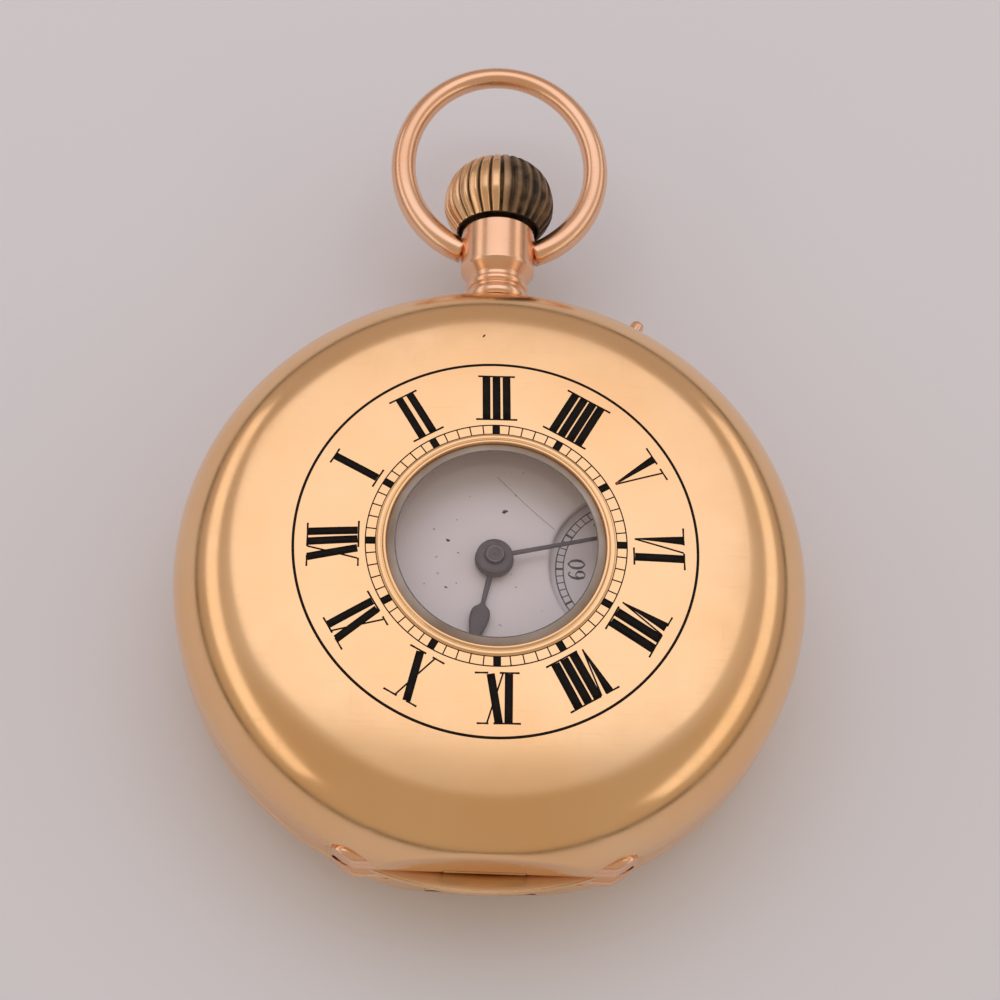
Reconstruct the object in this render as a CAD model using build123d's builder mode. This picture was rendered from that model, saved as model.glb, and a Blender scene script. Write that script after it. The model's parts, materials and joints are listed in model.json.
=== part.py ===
from build123d import *
from math import atan2, cos, degrees, hypot, pi, radians, sin, sqrt
import os

# Half hunter pocket watch with a keyless, pin-set lever movement, lying on its back.
# The origin is the centre of the flat rest area on the back cover, +Z points out of the
# front cover, +Y to the pendant at three o'clock and +X to six o'clock. Lengths are in
# millimetres, bearings in degrees from +X towards +Y.

# General
overrun = 1.0                  # how far every cutting shape runs past what it cuts
running_gap = 0.03             # radial play of turning and sliding pieces
full_turn = 360
half = 0.5

# Going train, seen in plan. The train sets the size of the movement.
barrel_teeth = 56
centre_leaves = 8
centre_teeth = 48
third_leaves = 6
third_teeth = 45
fourth_leaves = 6
fourth_teeth = 48
escape_leaves = 6
escape_teeth = 15
barrel_module = 0.20
centre_module = 0.24
third_module = 0.21
fourth_module = 0.16
addendum_share = 0.35          # tooth height above the pitch circle, in modules
dedendum_share = 0.95          # tooth depth below the pitch circle, in modules
barrel_bearing = 160
seconds_distance = 7.35        # from the hand axis to the seconds axis
escape_bearing = -83           # from the fourth wheel to the escape wheel
escape_radius = 1.9
pallet_distance = 2.45         # from the escape wheel to the lever's pivot
lever_length = 3.85            # from the lever's pivot to the balance
lever_bearing = -137
balance_radius = 4.6
balance_margin = 0.5           # metal of the plate outside the balance

# Heights of the movement, measured from the mid plane that holds the winding stem
plate_above = 2.2
plate_below = 0.9
motion_recess = 0.45
dial_gap = 0.65
dial_thickness = 0.6
hour_hand_gap = 0.3
hand_thickness = 0.15
hand_gap = 0.25
boss_rise = 0.3
crystal_gap = 0.3
crystal_thickness = 0.45
window_gap = 0.15
window_thickness = 0.55
window_proud = 0.05

# Case
plate_clearance = 0.1          # movement in the case's bore
seat_wall = 1.4                # ring that carries the glass bezel and the inner cover
lip_step = 0.55
lip_gap = 0.2                  # snap lip to the inside of a cover
cover_wall = 0.45
band_height = 1.8              # polished band seen between the two covers
band_edge = 0.12
lip_height = 1.0
seat_height = 0.6
ledge_depth = 0.7              # ledge that the movement's plate rests on
ledge_height = 0.6
seam_gap = 0.03
cover_edge_height = 0.3
shoulder_width = 3.75
crown_rise = 0.5               # from the end of the shoulder to the top of a cover
rest_radius = 6.0

# Hinges
tube_radius = 0.55
tube_clearance = 0.05
tube_inset = 1.4               # hinge axis inside the case's outer radius
tube_drop = 0.05               # hinge axis below the cover's edge
hinge_length = 15.4
hinge_pin_length = 12.4
hinge_wall = 0.35              # flat wall of a cover above the hinge
strip_height = 1.45            # thick root of the hinge strip above the cover's edge
centre_knuckle = 4.2
back_knuckle = 2.6             # middle knuckle of the back hinge
inner_knuckle = 1.55           # each knuckle of the inner cover
knuckle_gap = 0.05
hinge_pin_radius = 0.2

# Window, glass and bezel
window_radius = 5.95
window_ring_flange = 0.32
window_ring_wall = 0.22
window_ring_rise = 0.13
window_ring_step = 0.06
window_bevel = 0.28
crystal_rise = 0.5
bezel_outer_step = 0.1
bezel_width = 2.286            # from the bezel's outer edge in to the crystal
bezel_foot_height = 0.6
bezel_lip = 0.45
bezel_face = 0.55
bezel_top_width = 0.4
glass_fit = 0.02

# Inner cover
inner_cover_thickness = 0.35
inner_cover_dome = 0.7
inner_cover_step = 0.1
thumb_lip_width = 3.2
thumb_lip_depth = 0.35

# Pendant, crown and bow, along the stem
foot_radius = 1.8
foot_length = 0.35
neck_radius = 1.5
bead_length = 0.8
neck_groove = 0.2
small_bead_radius = 1.64
small_bead_length = 0.5
cone_length = 0.65
collar_radius = 2.13
collar_length = 2.7
collar_chamfer = 0.12
foot_notch_gap = 0.15
sleeve_radius = 1.28
sleeve_inset = 0.25
stem_radius = 0.72
stem_square = 1.0
stem_pivot_radius = 0.35
stem_pivot_length = 1.5
crown_radius = 3.22
crown_length = 4.7
crown_gap = 0.25
crown_rib_count = 24
crown_rib_depth = 0.2
crown_recess_gap = 0.18
crown_recess_depth = 0.85
crown_cap_height = 0.25
crown_travel = 0.3             # until the crown's rim is near the bow's shoulders
crown_height_shares = (0.0, 0.1, 0.29, 0.54, 0.78, 0.92, 1.0)
crown_radius_shares = (0.79, 0.88, 0.98, 0.99, 0.88, 0.71, 0.52)
bow_wire_radius = 0.66
bow_radius = 5.75
bow_rise = 6.35                # from the bow's pivots to the centre of its ring
bow_open_bearing = -25
bow_seat_gap = 0.07
bow_pin_radius = 0.42
bow_pin_depth = 0.4

# Push pin for setting the hands
push_bearing = 63.8
push_boss_radius = 0.72
push_boss_length = 0.85
push_pin_radius = 0.38
push_pin_proud = 0.9
push_travel = 0.38

# Keyless work
crown_wheel_distance = 8.1
crown_wheel_teeth = 32
ratchet_teeth = 52
winding_wheel_thickness = 0.45
winding_leaves = 14
winding_pinion_radius = 1.5
winding_pinion_length = 1.3
winding_overlap = 0.3
winding_square_gap = 0.02
clutch_radius = 1.3
clutch_groove_radius = 0.9
clutch_groove_width = 0.5
clutch_travel = 0.6
clutch_gap = 0.08
clutch_tooth_depth = 0.2
clutch_tooth_width = 0.3
clutch_tooth_count = 6
yoke_distance = 12.35
yoke_bearing = 31.8
yoke_thickness = 0.28
yoke_width = 0.75
yoke_head_radius = 0.9
yoke_finger_width = 0.32
yoke_level = 0.95              # above the mid plane, over the clutch's groove
yoke_screw_radius = 0.35
yoke_push_reach = 1.05         # how far inside the plate's edge the push pin meets the yoke

# Motion work
motion_module = 0.16
cannon_leaves = 10
minute_teeth = 30
minute_leaves = 8
hour_teeth = 32
setting_teeth = 18
setting_distance = 6.9
motion_gap = 0.06
cannon_tooth_height = 0.5
minute_wheel_thickness = 0.3
hour_wheel_thickness = 0.25
setting_lower_thickness = 0.35
setting_drop = 0.95            # lower teeth of the setting wheel, level with the clutch's end
cannon_radius = 0.45
hour_pipe_radius = 0.72
motion_post_radius = 0.28

# Dial and hands
dial_edge = 0.3
dial_seat_width = 1.15         # ring of the main plate that carries the dial
dial_hole_radius = 0.95
seconds_hole_radius = 4.4
seconds_dial_lap = 0.2
seconds_dial_thickness = 0.35
seconds_hand_gap = 0.15
seconds_hand_length = 3.3
seconds_hand_tail = 1.1
seconds_boss_radius = 0.4
hour_hand_length = 7.2
minute_hand_length = 11.0
hand_boss_radius = 1.02
hour_stem_width = 0.34
hour_spade_start = 2.72
hour_spade_length = 2.48
hour_spade_widest = 0.65       # from the spade's start to its full width
hour_spade_radius = 0.52
hour_second_spade_radius = 0.33
minute_stem_width = 0.24
seconds_stem_width = 0.14
hand_tip_width = 0.1
hour_bearing = -102            # near 9:28 on a dial with twelve at -X
minute_bearing = 13.4

# Train heights above the mid plane's lower plate face (all from plate_below upwards)
wheel_gap = 0.1
centre_wheel_thickness = 0.25
third_wheel_thickness = 0.2
fourth_wheel_thickness = 0.2
escape_wheel_thickness = 0.2
pinion_overlap = 0.05
level_gap = 0.15
pallet_cock_thickness = 0.3
lever_thickness = 0.2
barrel_height = 1.6
barrel_tooth_height = 0.3
barrel_wall = 0.35
barrel_floor = 0.25
barrel_cover_thickness = 0.25
barrel_arbor_radius = 1.1
barrel_square = 1.1
spring_gap = 0.12
arbor_radius = 0.14
pivot_radius = 0.09
centre_arbor_radius = 0.26
rim_share = 0.84               # inside of a wheel's rim, as a share of its pitch radius
hub_radius = 0.75
spoke_width = 0.42
spoke_count = 4
recess_gap = 0.2
recess_floor_gap = 0.1

# Balance, hairspring and regulator
balance_rim_width = 0.6
balance_rim_height = 0.5
balance_arm_width = 0.7
balance_cut_width = 0.25
staff_radius = 0.3
roller_radius = 1.1
roller_thickness = 0.2
impulse_pin_radius = 0.1
impulse_pin_distance = 0.85
hairspring_thickness = 0.06
hairspring_height = 0.2
hairspring_inner = 0.75
hairspring_pitch = 0.56
hairspring_half_turns = 9
collet_height = 0.3
stud_radius = 0.22
regulator_thickness = 0.22
regulator_ring_width = 0.5
regulator_arm_length = 3.0
regulator_arm_width = 0.35
endstone_radius = 0.62

# Lever
fork_width = 0.36
pallet_arm_radius = 0.2
pallet_spread = 30
pallet_reach = 0.2             # pallet ends outside the escape wheel's tip circle
lever_boss_radius = 0.36
fork_slot_width = 0.3
fork_head_radius = 0.34
fork_clearance = 0.05

# Bridges, screws and jewels
bridge_thickness = 1.15
bridge_inset = 0.8             # bridges stay inside the plate's edge
bridge_split = 0.15
wheel_recess_depth = 0.55
barrel_bridge_start = 75
barrel_bridge_end = 225
train_bridge_start = -38
train_bridge_end = 68
centre_boss_radius = 0.9
crown_wheel_margin = 0.4
cock_raise = 0.25              # cock stands proud of the other bridges
cock_thickness = 0.6
cock_head_radius = 1.5
cock_foot_radius = 2.3
cock_foot_distance = 11.2
cock_foot_bearing = -109
pallet_cock_head = 0.75
pallet_cock_foot = 0.8
pallet_cock_reach = 2.6
bridge_screw_bearings = (104, 132, 207, 60, 18, -22)
bridge_screw_inset = 1.7
screw_head_radius = 0.7
screw_head_height = 0.28
screw_shank_radius = 0.35
screw_depth = 0.9
case_screw_bearings = (232, -43)
case_screw_inset = 1.0
case_screw_radius = 0.3
jewel_radius = 0.5
jewel_thickness = 0.4
jewel_hole_radius = 0.12

# Click work
click_bearing = 250
click_distance_gap = 1.05
click_radius = 0.55
click_length = 1.35
click_tip_radius = 0.16
click_swing = 66
click_spring_width = 0.2
click_spring_radius = 1.3

# Springs in the case
spring_groove_in = 0.3
spring_groove_width = 0.85
case_spring_width = 0.4
case_spring_height = 0.65
case_spring_clearance = 0.12
lock_spring_start = 97
lock_spring_end = 165
catch_angle = 5
catch_gap = 0.05
lift_spring_start = 192
lift_spring_end = 252
ledge_catch_depth = 0.35
ledge_catch_height = 0.25


def polar(radius, bearing):
    """Point at a distance and bearing from the hand axis."""
    return (radius * cos(radians(bearing)), radius * sin(radians(bearing)))


def away(start, distance, bearing):
    """Point at a distance and bearing from another point."""
    step = polar(distance, bearing)
    return (start[0] + step[0], start[1] + step[1])


def bearing_between(start, end):
    return degrees(atan2(end[1] - start[1], end[0] - start[0]))


def upright(point, height):
    """Horizontal plane with its origin over a point of the plan."""
    return Plane((point[0], point[1], height))


def zigzag(count, tip_radius, root_radius, phase):
    """Outline of a fine-toothed wheel: one point for each tooth tip and each root."""
    points = []
    for tooth in range(count):
        tip_angle = phase + tooth * full_turn / count
        points.append(polar(tip_radius, tip_angle))
        points.append(polar(root_radius, tip_angle + full_turn / count * half))
    return points


def meshing_phase(start, end, teeth, phase, other_teeth):
    """Phase that puts a gap of the second wheel on a tooth of the first, on their line of centres."""
    line = bearing_between(start, end)
    turned = (phase - line) * teeth / full_turn
    return line + full_turn * half - (turned + half) * full_turn / other_teeth


def pitch_radius(module, teeth):
    return module * teeth * half


def tip(module, teeth):
    return pitch_radius(module, teeth) + module * addendum_share


def root(module, teeth):
    return pitch_radius(module, teeth) - module * dedendum_share


# Plan of the movement
hand_axis = (0, 0)
barrel_distance = pitch_radius(barrel_module, barrel_teeth + centre_leaves)
third_distance = pitch_radius(centre_module, centre_teeth + third_leaves)
third_to_fourth = pitch_radius(third_module, third_teeth + fourth_leaves)
fourth_to_escape = pitch_radius(fourth_module, fourth_teeth + escape_leaves)
barrel_point = polar(barrel_distance, barrel_bearing)
fourth_point = (seconds_distance, 0)
third_x = (third_distance**2 - third_to_fourth**2 + seconds_distance**2) / (2 * seconds_distance)
third_point = (third_x, sqrt(third_distance**2 - third_x**2))
escape_point = away(fourth_point, fourth_to_escape, escape_bearing)
lever_point = away(escape_point, pallet_distance, lever_bearing)
balance_point = away(lever_point, lever_length, lever_bearing)
balance_distance = hypot(balance_point[0], balance_point[1])
plate_radius = balance_distance + balance_radius + balance_margin
bridge_radius = plate_radius - bridge_inset
crown_wheel_point = (0, crown_wheel_distance)
winding_distance = hypot(barrel_point[0], barrel_point[1] - crown_wheel_distance)
winding_module = 2 * winding_distance / (crown_wheel_teeth + ratchet_teeth)
setting_point = (0, setting_distance)
minute_distance = pitch_radius(motion_module, cannon_leaves + minute_teeth)
hour_module = 2 * minute_distance / (minute_leaves + hour_teeth)
minute_to_setting = pitch_radius(motion_module, minute_teeth + setting_teeth)
minute_y = (minute_distance**2 - minute_to_setting**2 + setting_distance**2) / (2 * setting_distance)
minute_point = (sqrt(minute_distance**2 - minute_y**2), minute_y)
push_x, push_y = polar(1, push_bearing)

# Radii of the case, outwards from the movement
bore_radius = plate_radius + plate_clearance
seat_radius = bore_radius + seat_wall
lip_radius = seat_radius + lip_step
cover_inside = lip_radius + lip_gap
case_radius = cover_inside + cover_wall
shoulder_start = case_radius - shoulder_width
hinge_distance = case_radius - tube_inset
hinge_face = hinge_distance + tube_radius

# Heights above the mid plane
dial_under = plate_above + dial_gap
dial_over = dial_under + dial_thickness
hour_hand_under = dial_over + hour_hand_gap
minute_hand_under = hour_hand_under + hand_thickness + hand_gap
boss_over = minute_hand_under + hand_thickness + boss_rise
crystal_under = boss_over + crystal_gap
crystal_over = crystal_under + crystal_thickness
window_under = crystal_over + window_gap
window_over = window_under + window_thickness
cover_over = window_over - window_proud

# Heights above the rest face: the back cover mirrors the front one
mid = cover_over
band_half = band_height * half
seam_front = mid + band_half
cover_height = cover_over - band_half
shoulder_height = cover_height - cover_edge_height - crown_rise
plate_top = mid + plate_above
plate_bottom = mid - plate_below
bridge_bottom = plate_bottom - bridge_thickness
hinge_rise = band_half - tube_drop
web_half = hinge_rise - tube_radius - tube_clearance
knuckle_room = lip_height + seat_height + seam_gap + inner_cover_thickness + tube_radius * half
seat_level = band_half + lip_height + seat_height

# Levels of the train, from the bridges towards the dial
centre_wheel_under = plate_bottom + wheel_gap
centre_wheel_over = centre_wheel_under + centre_wheel_thickness
third_wheel_under = centre_wheel_over + level_gap
third_wheel_over = third_wheel_under + third_wheel_thickness
fourth_wheel_under = third_wheel_over + level_gap + pinion_overlap
fourth_wheel_over = fourth_wheel_under + fourth_wheel_thickness
balance_under = centre_wheel_over + wheel_gap
balance_over = balance_under + balance_rim_height
pallet_cock_under = balance_over + wheel_gap
pallet_cock_over = pallet_cock_under + pallet_cock_thickness
lever_under = pallet_cock_over + level_gap
lever_over = lever_under + lever_thickness
lever_floor = lever_over + recess_floor_gap + pinion_overlap
barrel_under = centre_wheel_over + level_gap
barrel_over = barrel_under + barrel_height
barrel_floor_level = barrel_over + recess_floor_gap
motion_floor = plate_top - motion_recess

stem_line = Axis((0, 0, mid), (0, 1, 0))
stem_plane = Plane.XY.offset(mid)

os.makedirs("parts", exist_ok=True)


def save(piece, name):
    piece.label = name
    export_step(piece, "parts/" + name + ".step")


def front_height(height):
    """Height above the rest face of a level above the front cover's edge."""
    return seam_front + height


def back_height(height):
    """The same for the back cover, measured downwards from its edge."""
    return mid - band_half - height


def cover_section(height_of, centre_radius, inside):
    """Half section of a cover: edge, shoulder arc and shallow crown, closed to the axis or walled."""
    with BuildSketch(Plane.XZ) as section:
        with BuildLine():
            wall = cover_wall if inside else 0
            rim_radius = case_radius - wall
            low = 0 if inside else seam_gap
            rim_low = (rim_radius, height_of(low - inside * overrun))
            rim = Line(rim_low, (rim_radius, height_of(cover_edge_height)))
            shoulder_end = (shoulder_start, height_of(cover_edge_height + shoulder_height - wall))
            shoulder = TangentArc(rim @ 1, shoulder_end, tangent=rim % 1)
            crown_end = (centre_radius, height_of(cover_height - wall))
            if inside:
                crown_line = Line(shoulder @ 1, crown_end)
            else:
                crown_line = TangentArc(shoulder @ 1, crown_end, tangent=shoulder % 1)
            top = Line(crown_line @ 1, (0, height_of(cover_height - wall)))
            axis_line = Line(top @ 1, (0, height_of(low - inside * overrun)))
            Line(axis_line @ 1, rim @ 0)
        make_face()
    return section.sketch


def hinge_plane(start, height):
    """Plane across the hinge axis, for shapes that run along +X."""
    return Plane((start, -hinge_distance, height), x_dir=(0, 1, 0), z_dir=(1, 0, 0))


def push_plane(distance):
    """Plane across the push pin at a distance from the hand axis, facing outwards."""
    return Plane((distance * push_x, distance * push_y, mid), x_dir=(0, 0, 1), z_dir=(push_x, push_y, 0))


def block(low, high):
    """Box between two corners, kept out of the context it is called in."""
    size = [high[i] - low[i] for i in range(3)]
    middle = [(high[i] + low[i]) * half for i in range(3)]
    return Pos(*middle) * Box(*size, mode=Mode.PRIVATE)


def rod(plane, radius, length):
    """Plain cylinder standing on a plane, kept out of the context it is called in."""
    return plane * Cylinder(radius, length, align=(Align.CENTER, Align.CENTER, Align.MIN), mode=Mode.PRIVATE)


def hinged_cover(height_of, centre_radius, leaf_spans, gap_spans):
    """Shell of a cover with its hinge strip and knuckles; spans are lengths along the hinge."""
    tube_height = height_of(-tube_drop)
    strip_low = -hinge_face
    strip_high = -(hinge_distance - tube_radius)
    strip_end = leaf_spans[-1][1]
    low_levels = sorted((height_of(seam_gap), height_of(strip_height)))
    high_levels = sorted((height_of(seam_gap), height_of(cover_height)))
    with BuildPart() as outside:
        revolve(cover_section(height_of, centre_radius, False), axis=Axis.Z)
    with BuildPart() as strip:
        add(block((-strip_end, strip_low, low_levels[0]), (strip_end, strip_high, low_levels[1])))
        thin = strip_low + hinge_wall
        add(block((-strip_end, strip_low, high_levels[0]), (strip_end, thin, high_levels[1])))
        add(outside.part, mode=Mode.INTERSECT)
    with BuildPart() as cover:
        add(outside.part)
        revolve(cover_section(height_of, centre_radius, True), axis=Axis.Z, mode=Mode.SUBTRACT)
        add(strip.part)
        reach = case_radius + overrun
        cut_levels = sorted((height_of(-overrun), height_of(cover_height + overrun)))
        far = (-reach, -reach, cut_levels[0])
        add(block(far, (reach, -hinge_face, cut_levels[1])), mode=Mode.SUBTRACT)
        for low, high in gap_spans:
            inner_levels = sorted((height_of(-overrun), height_of(knuckle_room)))
            room_low = (low, strip_low - overrun, inner_levels[0])
            add(block(room_low, (high, strip_high + tube_clearance, inner_levels[1])), mode=Mode.SUBTRACT)
        end = hinge_length * half + overrun
        add(rod(hinge_plane(-end, tube_height), tube_radius + tube_clearance, 2 * end), mode=Mode.SUBTRACT)
        for low, high in leaf_spans:
            for side in (-1, 1):
                start = low if side > 0 else -high
                with BuildPart(mode=Mode.PRIVATE) as knuckle:
                    add(rod(hinge_plane(start, tube_height), tube_radius, high - low))
                    root_levels = sorted((tube_height, height_of(tube_radius)))
                    root_low = (start, -hinge_face, root_levels[0])
                    add(block(root_low, (start + high - low, strip_high, root_levels[1])))
                    round_levels = sorted((height_of(-cover_height), height_of(cover_height)))
                    add(rod(Plane.XY.offset(round_levels[0]), case_radius, round_levels[1] - round_levels[0]),
                        mode=Mode.INTERSECT)
                add(knuckle.part)
        bore = hinge_pin_radius + running_gap
        bore_end = hinge_length * half + knuckle_gap
        add(rod(hinge_plane(-bore_end, tube_height), bore, 2 * bore_end), mode=Mode.SUBTRACT)
        notch = Plane((0, hinge_distance - overrun, mid), x_dir=(1, 0, 0), z_dir=(0, 1, 0))
        add(rod(notch, foot_radius + foot_notch_gap, tube_inset + 2 * overrun), mode=Mode.SUBTRACT)
    return cover


# Front cover, pierced for the window
knuckle_start = centre_knuckle * half + knuckle_gap
hinge_end = hinge_length * half
front = hinged_cover(front_height, window_radius, [(knuckle_start, hinge_end)], [])
catch_middle = lock_spring_start + catch_angle * half
with BuildPart() as front_cover:
    add(front.part)
    with BuildSketch(Plane.XY.offset(front_height(cover_height - cover_wall - overrun))):
        Circle(window_radius)
    extrude(amount=cover_wall + 2 * overrun, mode=Mode.SUBTRACT)
    # strike that the lock spring's catch holds
    with BuildSketch(Plane.XZ.rotated((0, 0, catch_middle - catch_angle * half))):
        with Locations((cover_inside - ledge_catch_depth, front_height(case_spring_clearance))):
            Rectangle(ledge_catch_depth + cover_wall * half, ledge_catch_height, align=(Align.MIN, Align.MIN))
    revolve(axis=Axis.Z, revolution_arc=catch_angle)
save(front_cover.part, "front_cover")

# Gold rim of the window, with two fine steps
ring_outer = window_radius + window_ring_flange
ring_seat = window_radius - glass_fit
ring_inner = ring_seat - window_ring_wall
ring_top = mid + cover_over + window_ring_rise
with BuildPart() as window_ring:
    with BuildSketch(Plane.XZ):
        with BuildLine():
            Polyline(
                (ring_inner, mid + window_under),
                (ring_seat, mid + window_under),
                (ring_seat, mid + cover_over),
                (ring_outer, mid + cover_over),
                (ring_outer - window_ring_step, ring_top - window_ring_step),
                (ring_seat + window_ring_step, ring_top - window_ring_step),
                (ring_seat, ring_top),
                (ring_inner + window_ring_step, ring_top),
                (ring_inner, ring_top - window_ring_step),
                close=True,
            )
        make_face()
    revolve(axis=Axis.Z)
save(window_ring.part, "window_ring")

with BuildPart() as window_glass:
    with BuildSketch(Plane.XY.offset(mid + window_under)):
        Circle(ring_inner - glass_fit)
    extrude(amount=window_thickness)
    chamfer(window_glass.edges().group_by(Axis.Z)[-1], length=window_bevel)
save(window_glass.part, "window_glass")

# Back cover, closed and flat in the middle, where the watch rests
inner_start = back_knuckle * half + knuckle_gap
inner_end = inner_start + inner_knuckle
back_start = inner_end + knuckle_gap
back = hinged_cover(back_height, rest_radius, [(back_start, hinge_end)],
                    [(inner_start - knuckle_gap, back_start), (-back_start, -inner_start + knuckle_gap)])
save(back.part, "back_cover")

# Inner cover, domed, hung between the knuckles of the back hinge
inner_radius = seat_radius - inner_cover_step
inner_top = mid - seat_level - seam_gap
inner_edge = inner_top - inner_cover_thickness
back_axis_height = mid - hinge_rise
with BuildPart() as inner_cover:
    with BuildSketch(Plane.XZ):
        with BuildLine():
            edge = Line((inner_radius, inner_edge), (inner_radius, inner_top))
            seat = Line(edge @ 1, (bore_radius, inner_top))
            upper = Line(seat @ 1, (rest_radius, inner_top - inner_cover_dome))
            middle = Line(upper @ 1, (0, inner_top - inner_cover_dome))
            wall = Line(middle @ 1, (0, inner_edge - inner_cover_dome))
            lower = Line(wall @ 1, (rest_radius, inner_edge - inner_cover_dome))
            slope = Line(lower @ 1, (bore_radius, inner_edge))
            Line(slope @ 1, edge @ 0)
        make_face()
    revolve(axis=Axis.Z)
    arm_in = -(hinge_distance - tube_radius)
    for side in (-1, 1):
        start = inner_start if side > 0 else -inner_end
        add(block((start, -hinge_face, inner_edge), (start + inner_knuckle, arm_in, back_axis_height)))
        add(rod(hinge_plane(start, back_axis_height), tube_radius, inner_knuckle))
        bore_plane = hinge_plane(start - overrun, back_axis_height)
        bore = rod(bore_plane, hinge_pin_radius + running_gap, inner_knuckle + 2 * overrun)
        add(bore, mode=Mode.SUBTRACT)
    # thumb lip on the pendant's side
    lip_plane = (-thumb_lip_width * half, inner_radius - thumb_lip_depth, inner_edge - thumb_lip_depth)
    add(block(lip_plane, (thumb_lip_width * half, inner_radius - thumb_lip_depth * half, inner_top)))
save(inner_cover.part, "inner_cover")

# Case middle: band, snap lips, seats for bezel and inner cover, ledge for the movement
ledge_top = plate_bottom
ledge_radius = bore_radius - ledge_depth
with BuildPart() as case_middle:
    with BuildSketch(Plane.XZ):
        with BuildLine():
            Polyline(
                (case_radius - band_edge, mid + band_half),
                (lip_radius, mid + band_half),
                (lip_radius, mid + band_half + lip_height),
                (seat_radius, mid + band_half + lip_height),
                (seat_radius, mid + seat_level),
                (bore_radius, mid + seat_level),
                (bore_radius, ledge_top),
                (ledge_radius, ledge_top),
                (ledge_radius, ledge_top - ledge_height),
                (bore_radius, ledge_top - ledge_height),
                (bore_radius, mid - seat_level),
                (seat_radius, mid - seat_level),
                (seat_radius, mid - band_half - lip_height),
                (lip_radius, mid - band_half - lip_height),
                (lip_radius, mid - band_half),
                (case_radius - band_edge, mid - band_half),
                (case_radius, mid - band_half + band_edge),
                (case_radius, mid + band_half - band_edge),
                close=True,
            )
        make_face()
    revolve(axis=Axis.Z)
    # room for the hinges, above and below a thin web
    room_end = hinge_end + tube_clearance
    room_face = -(hinge_distance - tube_radius - tube_clearance)
    reach = case_radius + overrun
    room_reach = seat_level + overrun
    for low, high in ((mid + web_half, mid + room_reach), (mid - room_reach, mid - web_half)):
        add(block((-room_end, -reach, low), (room_end, room_face, high)), mode=Mode.SUBTRACT)
    for side, length in ((1, centre_knuckle), (-1, back_knuckle)):
        axis_height = mid + side * hinge_rise
        levels = sorted((mid + side * web_half, axis_height))
        add(rod(hinge_plane(-length * half, axis_height), tube_radius, length))
        add(block((-length * half, -hinge_distance, levels[0]), (length * half, room_face, levels[1])))
        bore = rod(hinge_plane(-length, axis_height), hinge_pin_radius, 2 * length)
        add(bore, mode=Mode.SUBTRACT)
    # way in for the stem
    stem_way = Plane((0, ledge_radius - overrun, mid), x_dir=(1, 0, 0), z_dir=(0, 1, 0))
    stem_way_length = case_radius - ledge_radius + 2 * overrun
    add(rod(stem_way, stem_radius + running_gap, stem_way_length), mode=Mode.SUBTRACT)
    # way in for the push pin, with its boss on the band
    push_start = ledge_radius - overrun
    push_way = push_plane(push_start)
    boss_start = seat_radius
    boss_plane = push_plane(boss_start)
    boss_length = case_radius + push_boss_length - boss_start
    add(boss_plane * Cone(push_boss_radius + band_edge, push_boss_radius * rim_share, boss_length,
                          align=(Align.CENTER, Align.CENTER, Align.MIN), mode=Mode.PRIVATE))
    push_length = case_radius + push_boss_length - push_start + overrun
    add(rod(push_way, push_pin_radius + running_gap, push_length), mode=Mode.SUBTRACT)
    # grooves for the lock spring and the lift spring, open to the front
    groove_in = bore_radius + spring_groove_in
    groove_floor = seam_front + case_spring_clearance
    for start, end in ((lock_spring_start - catch_angle, lock_spring_end + catch_angle),
                       (lift_spring_start - catch_angle, lift_spring_end + catch_angle)):
        with BuildSketch(Plane.XZ.rotated((0, 0, start))):
            with Locations((groove_in, groove_floor)):
                Rectangle(spring_groove_width, lip_height + seat_height, align=(Align.MIN, Align.MIN))
        revolve(axis=Axis.Z, revolution_arc=end - start, mode=Mode.SUBTRACT)
    with BuildSketch(Plane.XZ.rotated((0, 0, lock_spring_start - catch_angle * half))):
        with Locations((groove_in, groove_floor)):
            Rectangle(cover_inside - groove_in, lip_height, align=(Align.MIN, Align.MIN))
    revolve(axis=Axis.Z, revolution_arc=2 * catch_angle, mode=Mode.SUBTRACT)
save(case_middle.part, "case_middle")

# Hinge pins
for name, side in (("front_hinge_pin", 1), ("back_hinge_pin", -1)):
    with BuildPart() as hinge_pin:
        with BuildSketch(hinge_plane(-hinge_pin_length * half, mid + side * hinge_rise)):
            Circle(hinge_pin_radius)
        extrude(amount=hinge_pin_length)
    save(hinge_pin.part, name)

# Springs in the case's grooves: the lock spring ends in the catch that holds the front cover
spring_in = groove_in + case_spring_clearance + (spring_groove_width - case_spring_width) * half
spring_floor = groove_floor + case_spring_clearance * half
strike_inside = cover_inside - ledge_catch_depth
strike_over = front_height(case_spring_clearance) + ledge_catch_height
with BuildPart() as lock_spring:
    with BuildSketch(Plane.XZ.rotated((0, 0, lock_spring_start))):
        with Locations((spring_in, spring_floor)):
            Rectangle(case_spring_width, case_spring_height, align=(Align.MIN, Align.MIN))
    revolve(axis=Axis.Z, revolution_arc=lock_spring_end - lock_spring_start)
    catch_height = spring_floor + case_spring_height - strike_over - catch_gap
    with BuildSketch(Plane.XZ.rotated((0, 0, lock_spring_start))):
        with Locations((spring_in, strike_over + catch_gap)):
            Rectangle(strike_inside - catch_gap - spring_in, catch_height, align=(Align.MIN, Align.MIN))
    revolve(axis=Axis.Z, revolution_arc=catch_angle)
save(lock_spring.part, "lock_spring")

with BuildPart() as lift_spring:
    with BuildSketch(Plane.XZ.rotated((0, 0, lift_spring_start))):
        with Locations((spring_in, spring_floor)):
            Rectangle(case_spring_width, case_spring_height, align=(Align.MIN, Align.MIN))
    revolve(axis=Axis.Z, revolution_arc=lift_spring_end - lift_spring_start)
save(lift_spring.part, "lift_spring")

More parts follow.
